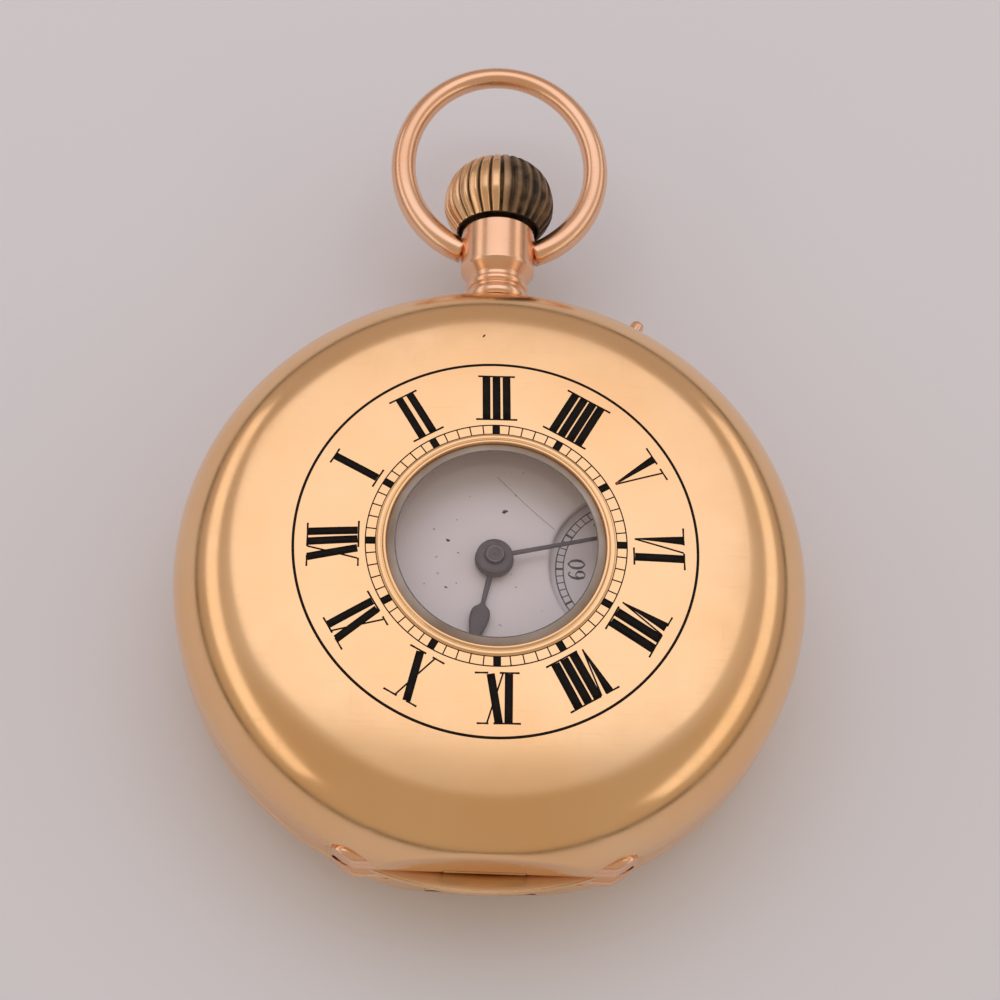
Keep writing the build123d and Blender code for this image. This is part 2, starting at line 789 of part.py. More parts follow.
# Bezel and crystal under the front cover
bezel_outer = seat_radius - bezel_outer_step
crystal_radius = bezel_outer - bezel_width
bezel_base = mid + seat_level + seam_gap
crystal_edge_under = mid + crystal_under - crystal_rise
crystal_edge_over = crystal_edge_under + crystal_thickness
bezel_inside = crystal_radius - bezel_lip
with BuildPart() as glass_bezel:
    with BuildSketch(Plane.XZ):
        with BuildLine():
            Polyline(
                (bezel_outer, bezel_base),
                (bezel_outer, bezel_base + bezel_foot_height),
                (crystal_radius + bezel_top_width, crystal_edge_over),
                (crystal_radius + glass_fit, crystal_edge_over),
                (crystal_radius + glass_fit, crystal_edge_under - glass_fit),
                (bezel_inside, crystal_edge_under - glass_fit),
                (bezel_inside, crystal_edge_under - bezel_face),
                (bore_radius - dial_edge, crystal_edge_under - bezel_face),
                (bore_radius - dial_edge, bezel_base),
                close=True,
            )
        make_face()
    revolve(axis=Axis.Z)
save(glass_bezel.part, "glass_bezel")

with BuildPart() as crystal:
    with BuildSketch(Plane.XZ):
        with BuildLine():
            under = ThreePointArc(
                (crystal_radius, crystal_edge_under),
                (0, mid + crystal_under),
                (-crystal_radius, crystal_edge_under),
            )
            over = ThreePointArc(
                (crystal_radius, crystal_edge_over),
                (0, mid + crystal_over),
                (-crystal_radius, crystal_edge_over),
            )
            Line(under @ 0, over @ 0)
            Line(under @ 1, over @ 1)
        make_face()
        other_half = (crystal_radius + overrun, 2 * (mid + crystal_over + overrun))
        Rectangle(*other_half, align=(Align.MAX, Align.CENTER), mode=Mode.SUBTRACT)
    revolve(axis=Axis.Z)
save(crystal.part, "crystal")

# Pendant: foot, two beads, cone and collar, turned about the stem
foot_start = lip_radius
bead_start = case_radius + foot_length
bead_end = bead_start + bead_length
small_start = bead_end + neck_groove
small_end = small_start + small_bead_length
cone_start = small_end + neck_groove
collar_start = cone_start + cone_length
collar_end = collar_start + collar_length
bow_pivot = collar_start + collar_length * half
with BuildPart() as pendant:
    with BuildSketch(stem_plane):
        with BuildLine():
            foot = Polyline(
                (sleeve_radius, foot_start),
                (foot_radius, foot_start),
                (foot_radius, case_radius),
                (neck_radius, bead_start),
            )
            bead_middle = (foot_radius, (bead_start + bead_end) * half)
            bead = ThreePointArc(foot @ 1, bead_middle, (neck_radius, bead_end))
            groove = Line(bead @ 1, (neck_radius, small_start))
            small_bead = ThreePointArc(groove @ 1, (small_bead_radius, (small_start + small_end) * half),
                                       (neck_radius, small_end))
            collar = Polyline(
                small_bead @ 1,
                (neck_radius, cone_start),
                (collar_radius, collar_start),
                (collar_radius, collar_end - collar_chamfer),
                (collar_radius - collar_chamfer, collar_end),
                (sleeve_radius, collar_end),
            )
            Line(collar @ 1, foot @ 0)
        make_face()
    revolve(axis=stem_line)
    add(case_middle.part, mode=Mode.SUBTRACT)
    # bores for the bow's pins
    add(rod(Plane((-collar_radius - overrun, bow_pivot, mid), x_dir=(0, 1, 0), z_dir=(1, 0, 0)),
            bow_pin_radius + running_gap, 2 * (collar_radius + overrun)), mode=Mode.SUBTRACT)
save(pendant.part, "pendant")

with BuildPart() as stem_sleeve:
    with BuildSketch(stem_plane):
        with BuildLine():
            Polyline(
                (stem_radius + running_gap, case_radius + sleeve_inset),
                (sleeve_radius, case_radius + sleeve_inset),
                (sleeve_radius, collar_end - sleeve_inset),
                (stem_radius + running_gap, collar_end - sleeve_inset),
                close=True,
            )
        make_face()
    revolve(axis=stem_line)
save(stem_sleeve.part, "stem_sleeve")

# Bow: one wire that narrows in to pins in the collar
ring_centre = bow_pivot + bow_rise
with BuildPart() as bow:
    with BuildLine(stem_plane) as bow_path:
        arch_angle = full_turn * half - 2 * bow_open_bearing
        arch = CenterArc((0, ring_centre), bow_radius, bow_open_bearing, arch_angle)
        right = TangentArc(arch @ 0, (collar_radius, bow_pivot), tangent=-(arch % 0))
        left = TangentArc(arch @ 1, (-collar_radius, bow_pivot), tangent=arch % 1)
    start = right @ 1
    with BuildSketch(Plane(start, z_dir=right % 1)):
        Circle(bow_wire_radius)
    sweep(path=bow_path.wire())
    trim = collar_radius + bow_seat_gap
    trim_low = (-trim, bow_pivot - bow_rise, mid - collar_radius)
    trim_high = (trim, bow_pivot + collar_length, mid + collar_radius)
    add(block(trim_low, trim_high), mode=Mode.SUBTRACT)
    for side in (-1, 1):
        pin_start = trim + bow_wire_radius * half
        pin_plane = Plane((side * pin_start, bow_pivot, mid), x_dir=(0, 1, 0), z_dir=(-side, 0, 0))
        add(rod(pin_plane, bow_pin_radius, pin_start - collar_radius + bow_pin_depth))
save(bow.part, "bow")

# Crown: lofted through ribbed sections, hollow below for the collar
crown_start = collar_end + crown_gap
with BuildPart() as crown:
    for height_share, radius_share in zip(crown_height_shares, crown_radius_shares):
        rib_radius = crown_radius * radius_share
        section_y = crown_start + height_share * crown_length
        with BuildSketch(Plane((0, section_y, mid), x_dir=(1, 0, 0), z_dir=(0, 1, 0))):
            Polygon(*zigzag(crown_rib_count, rib_radius, rib_radius - crown_rib_depth, 0), align=None)
    loft(ruled=True)
    top_plane = Plane((0, crown_start + crown_length, mid), x_dir=(1, 0, 0), z_dir=(0, 1, 0))
    top_radius = crown_radius * crown_radius_shares[-1] - crown_rib_depth
    add(top_plane * Cone(top_radius, top_radius * half, crown_cap_height,
                         align=(Align.CENTER, Align.CENTER, Align.MIN), mode=Mode.PRIVATE))
    under_plane = Plane((0, crown_start - overrun, mid), x_dir=(1, 0, 0), z_dir=(0, 1, 0))
    add(rod(under_plane, collar_radius + crown_recess_gap, crown_recess_depth + overrun), mode=Mode.SUBTRACT)
    add(rod(under_plane, stem_radius, crown_length * half + overrun), mode=Mode.SUBTRACT)
save(crown.part, "crown")

# Winding stem: round outside, square inside, with a pilot at its end
setting_tip = tip(motion_module, setting_teeth)
clutch_start = setting_distance + setting_tip + clutch_gap + clutch_travel
crown_wheel_tip = tip(winding_module, crown_wheel_teeth)
pinion_start = crown_wheel_distance + crown_wheel_tip - winding_overlap
clutch_end = pinion_start - clutch_gap
pinion_end = pinion_start + winding_pinion_length
square_end = plate_radius - plate_clearance
with BuildPart() as winding_stem:
    with BuildSketch(Plane((0, square_end, mid), x_dir=(1, 0, 0), z_dir=(0, 1, 0))):
        Circle(stem_radius)
    extrude(amount=crown_start + crown_length * half - square_end)
    with BuildSketch(Plane((0, clutch_start, mid), x_dir=(1, 0, 0), z_dir=(0, 1, 0))):
        Rectangle(stem_square, stem_square)
    extrude(amount=square_end - clutch_start)
    with BuildSketch(Plane((0, clutch_start - stem_pivot_length, mid), x_dir=(1, 0, 0), z_dir=(0, 1, 0))):
        Circle(stem_pivot_radius)
    extrude(amount=stem_pivot_length)
save(winding_stem.part, "winding_stem")

with BuildPart() as push_pin:
    push_inner = plate_radius - yoke_push_reach
    pin_length = case_radius + push_boss_length + push_pin_proud - push_inner
    with BuildSketch(push_plane(push_inner)):
        Circle(push_pin_radius)
    extrude(amount=pin_length)
    outer_end = push_pin.faces().sort_by(Axis(hand_axis + (0,), (push_x, push_y, 0)))[-1]
    fillet(outer_end.edges(), push_pin_radius * half)
    # flat foot that reaches up to the yoke
    foot_origin = (push_inner * push_x, push_inner * push_y, mid)
    with BuildSketch(Plane(foot_origin, x_dir=(push_x, push_y, 0), z_dir=(0, 0, 1))):
        Rectangle(push_pin_radius, 2 * push_pin_radius, align=(Align.MIN, Align.CENTER))
    extrude(amount=yoke_level + yoke_thickness)
save(push_pin.part, "push_pin")

# Dial with a sunk seconds dial
with BuildPart() as dial:
    with BuildSketch(Plane.XY.offset(mid + dial_under)):
        Circle(plate_radius - dial_edge)
        Circle(dial_hole_radius, mode=Mode.SUBTRACT)
        with Locations(fourth_point):
            Circle(seconds_hole_radius, mode=Mode.SUBTRACT)
    extrude(amount=dial_thickness)
save(dial.part, "dial")

with BuildPart() as seconds_dial:
    with BuildSketch(upright(fourth_point, mid + dial_under - seconds_dial_thickness)):
        Circle(seconds_hole_radius + seconds_dial_lap)
        Circle(arbor_radius + running_gap, mode=Mode.SUBTRACT)
    extrude(amount=seconds_dial_thickness)
save(seconds_dial.part, "seconds_dial")


def hand_plane(point, bearing, height):
    """Horizontal plane whose local X runs along a hand."""
    return Plane((point[0], point[1], height), x_dir=polar(1, bearing) + (0,), z_dir=(0, 0, 1))


# Hour hand: a slim stem with two spades
spade_middle = hour_spade_start + hour_spade_widest
second_spade = (hour_spade_start + hour_spade_length + hour_hand_length) * half
with BuildPart() as hour_hand:
    with BuildSketch(hand_plane(hand_axis, hour_bearing, mid + hour_hand_under)):
        with BuildSketch(mode=Mode.PRIVATE) as spade:
            with Locations((spade_middle, 0)):
                Circle(hour_spade_radius)
            with Locations((hour_spade_start, 0), (hour_spade_start + hour_spade_length, 0)):
                Circle(hand_tip_width)
            make_hull()
        with BuildSketch(mode=Mode.PRIVATE) as small_spade:
            with Locations((second_spade, 0)):
                Circle(hour_second_spade_radius)
            with Locations((hour_hand_length, 0)):
                Circle(hand_tip_width)
            make_hull()
        add(spade.sketch)
        add(small_spade.sketch)
        Rectangle(second_spade, hour_stem_width, align=(Align.MIN, Align.CENTER))
        Circle(hand_boss_radius)
        Circle(hour_pipe_radius, mode=Mode.SUBTRACT)
    extrude(amount=hand_thickness)
save(hour_hand.part, "hour_hand")

with BuildPart() as minute_hand:
    with BuildSketch(hand_plane(hand_axis, minute_bearing, mid + minute_hand_under)):
        with BuildLine():
            Polyline(
                (0, minute_stem_width * half),
                (minute_hand_length, hand_tip_width * half),
                (minute_hand_length, -hand_tip_width * half),
                (0, -minute_stem_width * half),
                close=True,
            )
        make_face()
        Circle(hand_boss_radius)
        Circle(cannon_radius, mode=Mode.SUBTRACT)
    extrude(amount=hand_thickness)
save(minute_hand.part, "minute_hand")

seconds_hand_under = mid + dial_under + seconds_hand_gap
with BuildPart() as seconds_hand:
    with BuildSketch(hand_plane(fourth_point, 0, seconds_hand_under)):
        Rectangle(seconds_hand_length + seconds_hand_tail, seconds_stem_width)
        Circle(seconds_boss_radius)
        Circle(arbor_radius, mode=Mode.SUBTRACT)
    extrude(amount=hand_thickness)
save(seconds_hand.part, "seconds_hand")


# Phases that set every pair of wheels in mesh
barrel_phase = 0
centre_pinion_phase = meshing_phase(barrel_point, hand_axis, barrel_teeth, barrel_phase, centre_leaves)
centre_phase = 0
third_pinion_phase = meshing_phase(hand_axis, third_point, centre_teeth, centre_phase, third_leaves)
third_phase = 0
fourth_pinion_phase = meshing_phase(third_point, fourth_point, third_teeth, third_phase, fourth_leaves)
fourth_phase = 0
escape_pinion_phase = meshing_phase(fourth_point, escape_point, fourth_teeth, fourth_phase, escape_leaves)
minute_phase = 0
cannon_phase = meshing_phase(minute_point, hand_axis, minute_teeth, minute_phase, cannon_leaves)
setting_phase = meshing_phase(minute_point, setting_point, minute_teeth, minute_phase, setting_teeth)
minute_pinion_phase = 0
hour_phase = meshing_phase(minute_point, hand_axis, minute_leaves, minute_pinion_phase, hour_teeth)
crown_wheel_phase = 0
ratchet_phase = meshing_phase(
    crown_wheel_point, barrel_point, crown_wheel_teeth, crown_wheel_phase, ratchet_teeth)


def toothed_disc(point, height, thickness, module, teeth, phase, bore=0):
    """Toothed disc or pinion, added to the part in the making."""
    with BuildSketch(upright(point, height)) as outline:
        Polygon(*zigzag(teeth, tip(module, teeth), root(module, teeth), phase), align=None)
        if bore:
            Circle(bore, mode=Mode.SUBTRACT)
    extrude(outline.sketch, amount=thickness)


def crossed_wheel(point, height, thickness, module, teeth, phase, hub):
    """Thin wheel with a toothed rim and spokes, added to the part in the making."""
    inside = pitch_radius(module, teeth) * rim_share
    with BuildSketch(upright(point, height)) as outline:
        Polygon(*zigzag(teeth, tip(module, teeth), root(module, teeth), phase), align=None)
        Circle(inside, mode=Mode.SUBTRACT)
        Circle(hub)
        with PolarLocations(0, spoke_count):
            Rectangle(inside + module * half, spoke_width, align=(Align.MIN, Align.CENTER))
    extrude(outline.sketch, amount=thickness)


def arbor(point, low, high, radius):
    """Plain round arbor, added to the part in the making."""
    with BuildSketch(upright(point, low)) as outline:
        Circle(radius)
    extrude(outline.sketch, amount=high - low)


jewel_floor = bridge_bottom + jewel_thickness
pivot_low = bridge_bottom + jewel_thickness * half
third_pivot_high = third_wheel_over + level_gap + jewel_thickness
fourth_top = seconds_hand_under + hand_thickness
lever_pivot_high = lever_floor + jewel_thickness

# Mainspring barrel: toothed drum, cover, arbor and the spring's coiled pack
barrel_outer = root(barrel_module, barrel_teeth)
barrel_drum = barrel_outer - centre_module
tooth_level = barrel_over - barrel_tooth_height
with BuildPart() as barrel:
    toothed_disc(barrel_point, tooth_level, barrel_tooth_height, barrel_module, barrel_teeth, barrel_phase)
    with BuildSketch(upright(barrel_point, barrel_under + barrel_cover_thickness)):
        Circle(barrel_drum)
    extrude(amount=tooth_level - barrel_under - barrel_cover_thickness)
    with BuildSketch(upright(barrel_point, barrel_under + barrel_cover_thickness)):
        Circle(barrel_drum - barrel_wall)
    extrude(amount=barrel_height - barrel_cover_thickness - barrel_floor, mode=Mode.SUBTRACT)
    with BuildSketch(upright(barrel_point, barrel_under)):
        Circle(barrel_arbor_radius * half + running_gap)
    extrude(amount=barrel_height + overrun, mode=Mode.SUBTRACT)
save(barrel.part, "barrel")

with BuildPart() as barrel_cover:
    with BuildSketch(upright(barrel_point, barrel_under)):
        Circle(barrel_drum)
        Circle(barrel_arbor_radius * half + running_gap, mode=Mode.SUBTRACT)
    extrude(amount=barrel_cover_thickness)
save(barrel_cover.part, "barrel_cover")

spring_low = barrel_under + barrel_cover_thickness + spring_gap * half
spring_high = barrel_over - barrel_floor - spring_gap * half
ratchet_under = bridge_bottom + wheel_gap * half
ratchet_over = ratchet_under + winding_wheel_thickness
with BuildPart() as barrel_arbor:
    arbor(barrel_point, spring_low, spring_high, barrel_arbor_radius)
    arbor(barrel_point, ratchet_over, barrel_over + jewel_thickness, barrel_arbor_radius * half)
    with BuildSketch(upright(barrel_point, ratchet_under)):
        Rectangle(barrel_square * half, barrel_square * half)
    extrude(amount=winding_wheel_thickness)
save(barrel_arbor.part, "barrel_arbor")

with BuildPart() as mainspring:
    with BuildSketch(upright(barrel_point, spring_low)):
        Circle(barrel_drum - barrel_wall - spring_gap)
        Circle(barrel_arbor_radius + spring_gap, mode=Mode.SUBTRACT)
    extrude(amount=spring_high - spring_low)
save(mainspring.part, "mainspring")

# Going train
with BuildPart() as centre_wheel:
    crossed_wheel(hand_axis, centre_wheel_under, centre_wheel_thickness, centre_module, centre_teeth,
                  centre_phase, hub_radius)
    arbor(hand_axis, pivot_low, mid + minute_hand_under, centre_arbor_radius)
    toothed_disc(hand_axis, tooth_level - pinion_overlap, barrel_tooth_height + pinion_overlap, barrel_module,
                 centre_leaves, centre_pinion_phase)
save(centre_wheel.part, "centre_wheel")

with BuildPart() as third_wheel:
    crossed_wheel(third_point, third_wheel_under, third_wheel_thickness, third_module, third_teeth,
                  third_phase, hub_radius)
    arbor(third_point, jewel_floor, third_wheel_over + pinion_overlap, arbor_radius)
    arbor(third_point, pivot_low, third_pivot_high, pivot_radius)
    leaf_height = centre_wheel_thickness + 2 * pinion_overlap
    toothed_disc(third_point, centre_wheel_under - pinion_overlap, leaf_height, centre_module, third_leaves,
                 third_pinion_phase)
save(third_wheel.part, "third_wheel")

with BuildPart() as fourth_wheel:
    crossed_wheel(fourth_point, fourth_wheel_under, fourth_wheel_thickness, fourth_module, fourth_teeth,
                  fourth_phase, hub_radius)
    arbor(fourth_point, jewel_floor, fourth_top, arbor_radius)
    arbor(fourth_point, pivot_low, jewel_floor, pivot_radius)
    leaf_height = third_wheel_thickness + 2 * pinion_overlap
    toothed_disc(fourth_point, third_wheel_under - pinion_overlap, leaf_height, third_module, fourth_leaves,
                 fourth_pinion_phase)
save(fourth_wheel.part, "fourth_wheel")

# Escape wheel with pointed, raked teeth
rake_shares = (0.0, 0.16, 0.4, 0.62)
depth_shares = (1.0, 0.97, 0.7, 0.7)
with BuildPart() as escape_wheel:
    with BuildSketch(upright(escape_point, lever_under)):
        outline = []
        for tooth in range(escape_teeth):
            for rake, depth in zip(rake_shares, depth_shares):
                outline.append(polar(escape_radius * depth, (tooth + rake) * full_turn / escape_teeth))
        Polygon(*outline, align=None)
        Circle(escape_radius * depth_shares[-1] * rim_share, mode=Mode.SUBTRACT)
        Circle(hub_radius * half)
        with PolarLocations(0, spoke_count):
            Rectangle(escape_radius * depth_shares[-1] * rim_share + pivot_radius, spoke_width * half,
                      align=(Align.MIN, Align.CENTER))
    extrude(amount=escape_wheel_thickness)
    arbor(escape_point, jewel_floor, lever_floor - recess_floor_gap, arbor_radius)
    arbor(escape_point, pivot_low, lever_pivot_high, pivot_radius)
    leaf_height = fourth_wheel_thickness + 2 * pinion_overlap
    toothed_disc(escape_point, fourth_wheel_under - pinion_overlap, leaf_height, fourth_module, escape_leaves,
                 escape_pinion_phase)
save(escape_wheel.part, "escape_wheel")

# Lever: fork towards the balance and two pallet arms over the escape wheel
fork_end = lever_length - impulse_pin_distance - impulse_pin_radius - fork_clearance
pallet_radius = escape_radius + pallet_reach + pallet_arm_radius
with BuildPart() as pallet_fork:
    with BuildSketch(hand_plane(lever_point, lever_bearing, lever_under)):
        with BuildSketch(mode=Mode.PRIVATE) as fork:
            Circle(lever_boss_radius)
            with Locations((fork_end - fork_head_radius, 0)):
                Circle(fork_width * half)
            make_hull()
        add(fork.sketch)
        with Locations((fork_end - fork_head_radius, 0)):
            Rectangle(2 * fork_head_radius, 2 * fork_head_radius)
        with Locations((fork_end, 0)):
            Rectangle(fork_head_radius, fork_slot_width, align=(Align.MAX, Align.CENTER), mode=Mode.SUBTRACT)
        for side in (-1, 1):
            arm_x = pallet_radius * cos(radians(pallet_spread)) - pallet_distance
            arm_y = side * pallet_radius * sin(radians(pallet_spread))
            with BuildSketch(mode=Mode.PRIVATE) as arm:
                Circle(pallet_arm_radius)
                with Locations((arm_x, arm_y)):
                    Circle(pallet_arm_radius)
                make_hull()
            add(arm.sketch)
    extrude(amount=lever_thickness)
    arbor(lever_point, pallet_cock_under + pivot_radius, lever_pivot_high, pivot_radius)
save(pallet_fork.part, "pallet_fork")

# Balance: cut rim, arm, staff with its roller and impulse pin
cock_under = bridge_bottom - cock_raise
cock_over = cock_under + cock_thickness
roller_over = lever_under - level_gap * half
roller_under = roller_over - roller_thickness
with BuildPart() as balance_wheel:
    with BuildSketch(hand_plane(balance_point, lever_bearing, balance_under)):
        Circle(balance_radius)
        Circle(balance_radius - balance_rim_width, mode=Mode.SUBTRACT)
        Rectangle(2 * balance_radius - balance_rim_width, balance_arm_width)
        Circle(hub_radius)
        cut_length = balance_rim_width + overrun
        for side in (-1, 1):
            with Locations((side * (balance_radius - balance_rim_width * half), side * balance_arm_width)):
                Rectangle(cut_length, balance_cut_width, mode=Mode.SUBTRACT)
        Circle(staff_radius, mode=Mode.SUBTRACT)
    extrude(amount=balance_rim_height)
save(balance_wheel.part, "balance_wheel")

with BuildPart() as balance_staff:
    arbor(balance_point, cock_over + collet_height, roller_over, staff_radius)
    arbor(balance_point, cock_under + pivot_radius, lever_pivot_high, pivot_radius)
    with BuildSketch(upright(balance_point, roller_under)):
        Circle(roller_radius)
    extrude(amount=roller_thickness)
    pin_point = away(balance_point, -impulse_pin_distance, lever_bearing)
    arbor(pin_point, roller_over, lever_over, impulse_pin_radius)
save(balance_staff.part, "balance_staff")

# Hairspring: half turns that widen steadily, swept as one flat ribbon
spring_level = (cock_over + balance_under) * half
with BuildPart() as hairspring:
    with BuildLine(hand_plane(balance_point, 0, spring_level)) as coil:
        radius = hairspring_inner
        start_x = hairspring_inner
        for turn in range(hairspring_half_turns):
            side = 1 if turn % 2 == 0 else -1
            centre_x = start_x - side * radius
            CenterArc((centre_x, 0), radius, 0 if side > 0 else full_turn * half, full_turn * half)
            start_x = centre_x - side * radius
            radius += hairspring_pitch * half
    wire_path = coil.wire()
    with BuildSketch(Plane(wire_path @ 0, x_dir=(1, 0, 0), z_dir=wire_path % 0)):
        Rectangle(hairspring_thickness, hairspring_height)
    sweep(path=wire_path)
coil_end = start_x
save(hairspring.part, "hairspring")
coil_gap = hairspring_pitch - hairspring_thickness
print("hairspring length", round(wire_path.length, 2), "gap between turns", round(coil_gap, 3))

with BuildPart() as hairspring_collet:
    with BuildSketch(upright(balance_point, spring_level - collet_height * half)):
        Circle(hairspring_inner - hairspring_thickness * half)
        Circle(staff_radius, mode=Mode.SUBTRACT)
    extrude(amount=collet_height)
save(hairspring_collet.part, "hairspring_collet")

# Stud that holds the hairspring's outer end under the cock
stud_point = (balance_point[0] + coil_end, balance_point[1])
with BuildPart() as hairspring_stud:
    arbor(stud_point, cock_over, spring_level + stud_radius, stud_radius)
    pin_low = spring_level - hairspring_height
    pin_high = spring_level + stud_radius + overrun * half
    arbor(stud_point, pin_low, pin_high, hairspring_thickness)
save(hairspring_stud.part, "hairspring_stud")

# Regulator: split ring about the cock's endstone, with its pointer
regulator_over = cock_under
regulator_under = regulator_over - regulator_thickness
cock_foot_point = polar(cock_foot_distance, cock_foot_bearing)
pointer_bearing = bearing_between(balance_point, cock_foot_point)
with BuildPart() as regulator:
    with BuildSketch(hand_plane(balance_point, pointer_bearing, regulator_under)):
        Rectangle(regulator_arm_length, regulator_arm_width, align=(Align.MIN, Align.CENTER))
        Circle(endstone_radius + running_gap + regulator_ring_width)
        Circle(endstone_radius + running_gap, mode=Mode.SUBTRACT)
    extrude(amount=regulator_thickness)
save(regulator.part, "regulator")

# Winding wheels on the barrel bridge
with BuildPart() as ratchet_wheel:
    toothed_disc(barrel_point, ratchet_under, winding_wheel_thickness, winding_module, ratchet_teeth,
                 ratchet_phase)
    with BuildSketch(upright(barrel_point, ratchet_under)):
        Rectangle(barrel_square * half, barrel_square * half)
    extrude(amount=winding_wheel_thickness, mode=Mode.SUBTRACT)
save(ratchet_wheel.part, "ratchet_wheel")

with BuildPart() as crown_wheel:
    toothed_disc(crown_wheel_point, ratchet_under, winding_wheel_thickness, winding_module, crown_wheel_teeth,
                 crown_wheel_phase, screw_head_radius + running_gap)
save(crown_wheel.part, "crown_wheel")

with BuildPart() as ratchet_screw:
    with BuildSketch(upright(barrel_point, ratchet_under - screw_head_height)):
        Circle(barrel_arbor_radius)
    extrude(amount=screw_head_height)
save(ratchet_screw.part, "ratchet_screw")

with BuildPart() as crown_wheel_screw:
    with BuildSketch(upright(crown_wheel_point, ratchet_under - screw_head_height - running_gap)):
        Circle(barrel_arbor_radius)
    extrude(amount=screw_head_height)
    post_top = bridge_bottom + wheel_recess_depth
    arbor(crown_wheel_point, ratchet_under - running_gap, post_top, screw_head_radius)
save(crown_wheel_screw.part, "crown_wheel_screw")

# Click and its spring, beside the ratchet wheel
ratchet_tip = tip(winding_module, ratchet_teeth)
click_point = away(barrel_point, ratchet_tip + click_distance_gap, click_bearing)
click_direction = click_bearing + full_turn * half - click_swing
with BuildPart() as click:
    with BuildSketch(hand_plane(click_point, click_direction, ratchet_under)):
        Circle(click_radius)
        with Locations((click_length, 0)):
            Circle(click_tip_radius)
        make_hull()
        Circle(yoke_screw_radius + running_gap, mode=Mode.SUBTRACT)
    extrude(amount=winding_wheel_thickness)
save(click.part, "click")

click_spring_start = click_direction + full_turn * half - click_swing
with BuildPart() as click_spring:
    with BuildSketch(hand_plane(click_point, click_spring_start, ratchet_under)):
        with BuildLine():
            outer = CenterArc((0, 0), click_spring_radius, 0, click_swing * 2)
            offset(amount=click_spring_width * half, side=Side.BOTH)
        make_face()
    extrude(amount=winding_wheel_thickness)
save(click_spring.part, "click_spring")

# Winding pinion and sliding clutch on the stem's square
square_way = stem_square + 2 * winding_square_gap


def stem_level(distance):
    """Plane across the stem at a distance from the hand axis, facing outwards."""
    return Plane((0, distance, mid), x_dir=(1, 0, 0), z_dir=(0, 1, 0))


with BuildPart() as winding_pinion:
    with BuildSketch(stem_level(pinion_start)):
        winding_root = winding_pinion_radius - winding_module
        Polygon(*zigzag(winding_leaves, winding_pinion_radius, winding_root, 0), align=None)
        Rectangle(square_way, square_way, mode=Mode.SUBTRACT)
    extrude(amount=winding_pinion_length)
save(winding_pinion.part, "winding_pinion")

groove_middle = (clutch_start + clutch_end) * half
with BuildPart() as clutch:
    with BuildSketch(stem_plane):
        with BuildLine():
            Polyline(
                (0, clutch_start),
                (clutch_radius, clutch_start),
                (clutch_radius, groove_middle - clutch_groove_width * half),
                (clutch_groove_radius, groove_middle - clutch_groove_width * half),
                (clutch_groove_radius, groove_middle + clutch_groove_width * half),
                (clutch_radius, groove_middle + clutch_groove_width * half),
                (clutch_radius, clutch_end),
                (0, clutch_end),
                close=True,
            )
        make_face()
    revolve(axis=stem_line)
    for face_start in (clutch_start - overrun, clutch_end - clutch_tooth_depth):
        with BuildSketch(stem_level(face_start)):
            with PolarLocations(0, clutch_tooth_count):
                Rectangle(clutch_radius + overrun, clutch_tooth_width, align=(Align.MIN, Align.CENTER))
        extrude(amount=overrun + clutch_tooth_depth, mode=Mode.SUBTRACT)
    with BuildSketch(stem_level(clutch_start - overrun)):
        Rectangle(square_way, square_way)
    extrude(amount=clutch_end - clutch_start + 2 * overrun, mode=Mode.SUBTRACT)
save(clutch.part, "clutch")

# Yoke: lever that carries the push pin's movement to the clutch's groove
yoke_point = polar(yoke_distance, yoke_bearing)
yoke_floor = mid + yoke_level
push_meet = polar(plate_radius - yoke_push_reach, push_bearing)
push_meet_in = polar(plate_radius - yoke_push_reach - yoke_width * half - running_gap, push_bearing)
finger_end = (-yoke_finger_width, groove_middle)
with BuildPart() as yoke:
    with BuildSketch(Plane.XY.offset(yoke_floor)):
        with BuildSketch(mode=Mode.PRIVATE) as tail:
            with Locations(yoke_point):
                Circle(yoke_head_radius)
            with Locations(push_meet_in):
                Circle(yoke_width * half)
            make_hull()
        with BuildSketch(mode=Mode.PRIVATE) as neck:
            with Locations(push_meet_in):
                Circle(yoke_width * half)
            with Locations((clutch_radius + yoke_width, groove_middle)):
                Circle(yoke_finger_width * half)
            make_hull()
        add(tail.sketch)
        add(neck.sketch)
        with Locations(finger_end):
            Rectangle(clutch_radius + yoke_width + yoke_finger_width, yoke_finger_width,
                      align=(Align.MIN, Align.CENTER))
        with Locations(yoke_point):
            Circle(yoke_screw_radius + running_gap, mode=Mode.SUBTRACT)
    extrude(amount=yoke_thickness)
save(yoke.part, "yoke")

# Two shoulder screws, on which the click and the yoke turn
shoulder_reach = yoke_thickness + running_gap + screw_depth * half
with BuildPart() as shoulder_screws:
    for point, seat, side in ((click_point, ratchet_under - running_gap, 1),
                              (yoke_point, yoke_floor + yoke_thickness + running_gap, -1)):
        head_start = seat - side * screw_head_height
        arbor(point, min(head_start, seat), max(head_start, seat), click_radius)
        shank_end = seat + side * shoulder_reach
        arbor(point, min(seat, shank_end), max(seat, shank_end), yoke_screw_radius)
save(shoulder_screws.part, "shoulder_screws")

# Motion work under the dial
cannon_under = motion_floor + motion_gap
minute_pinion_under = cannon_under + minute_wheel_thickness
hour_wheel_under = cannon_under + cannon_tooth_height + motion_gap
with BuildPart() as cannon_pinion:
    toothed_disc(hand_axis, cannon_under, cannon_tooth_height, motion_module, cannon_leaves, cannon_phase)
    arbor(hand_axis, cannon_under, mid + boss_over, cannon_radius)
    with BuildSketch(upright(hand_axis, cannon_under - overrun)):
        Circle(centre_arbor_radius + running_gap)
    extrude(amount=mid + minute_hand_under - cannon_under + overrun, mode=Mode.SUBTRACT)
save(cannon_pinion.part, "cannon_pinion")

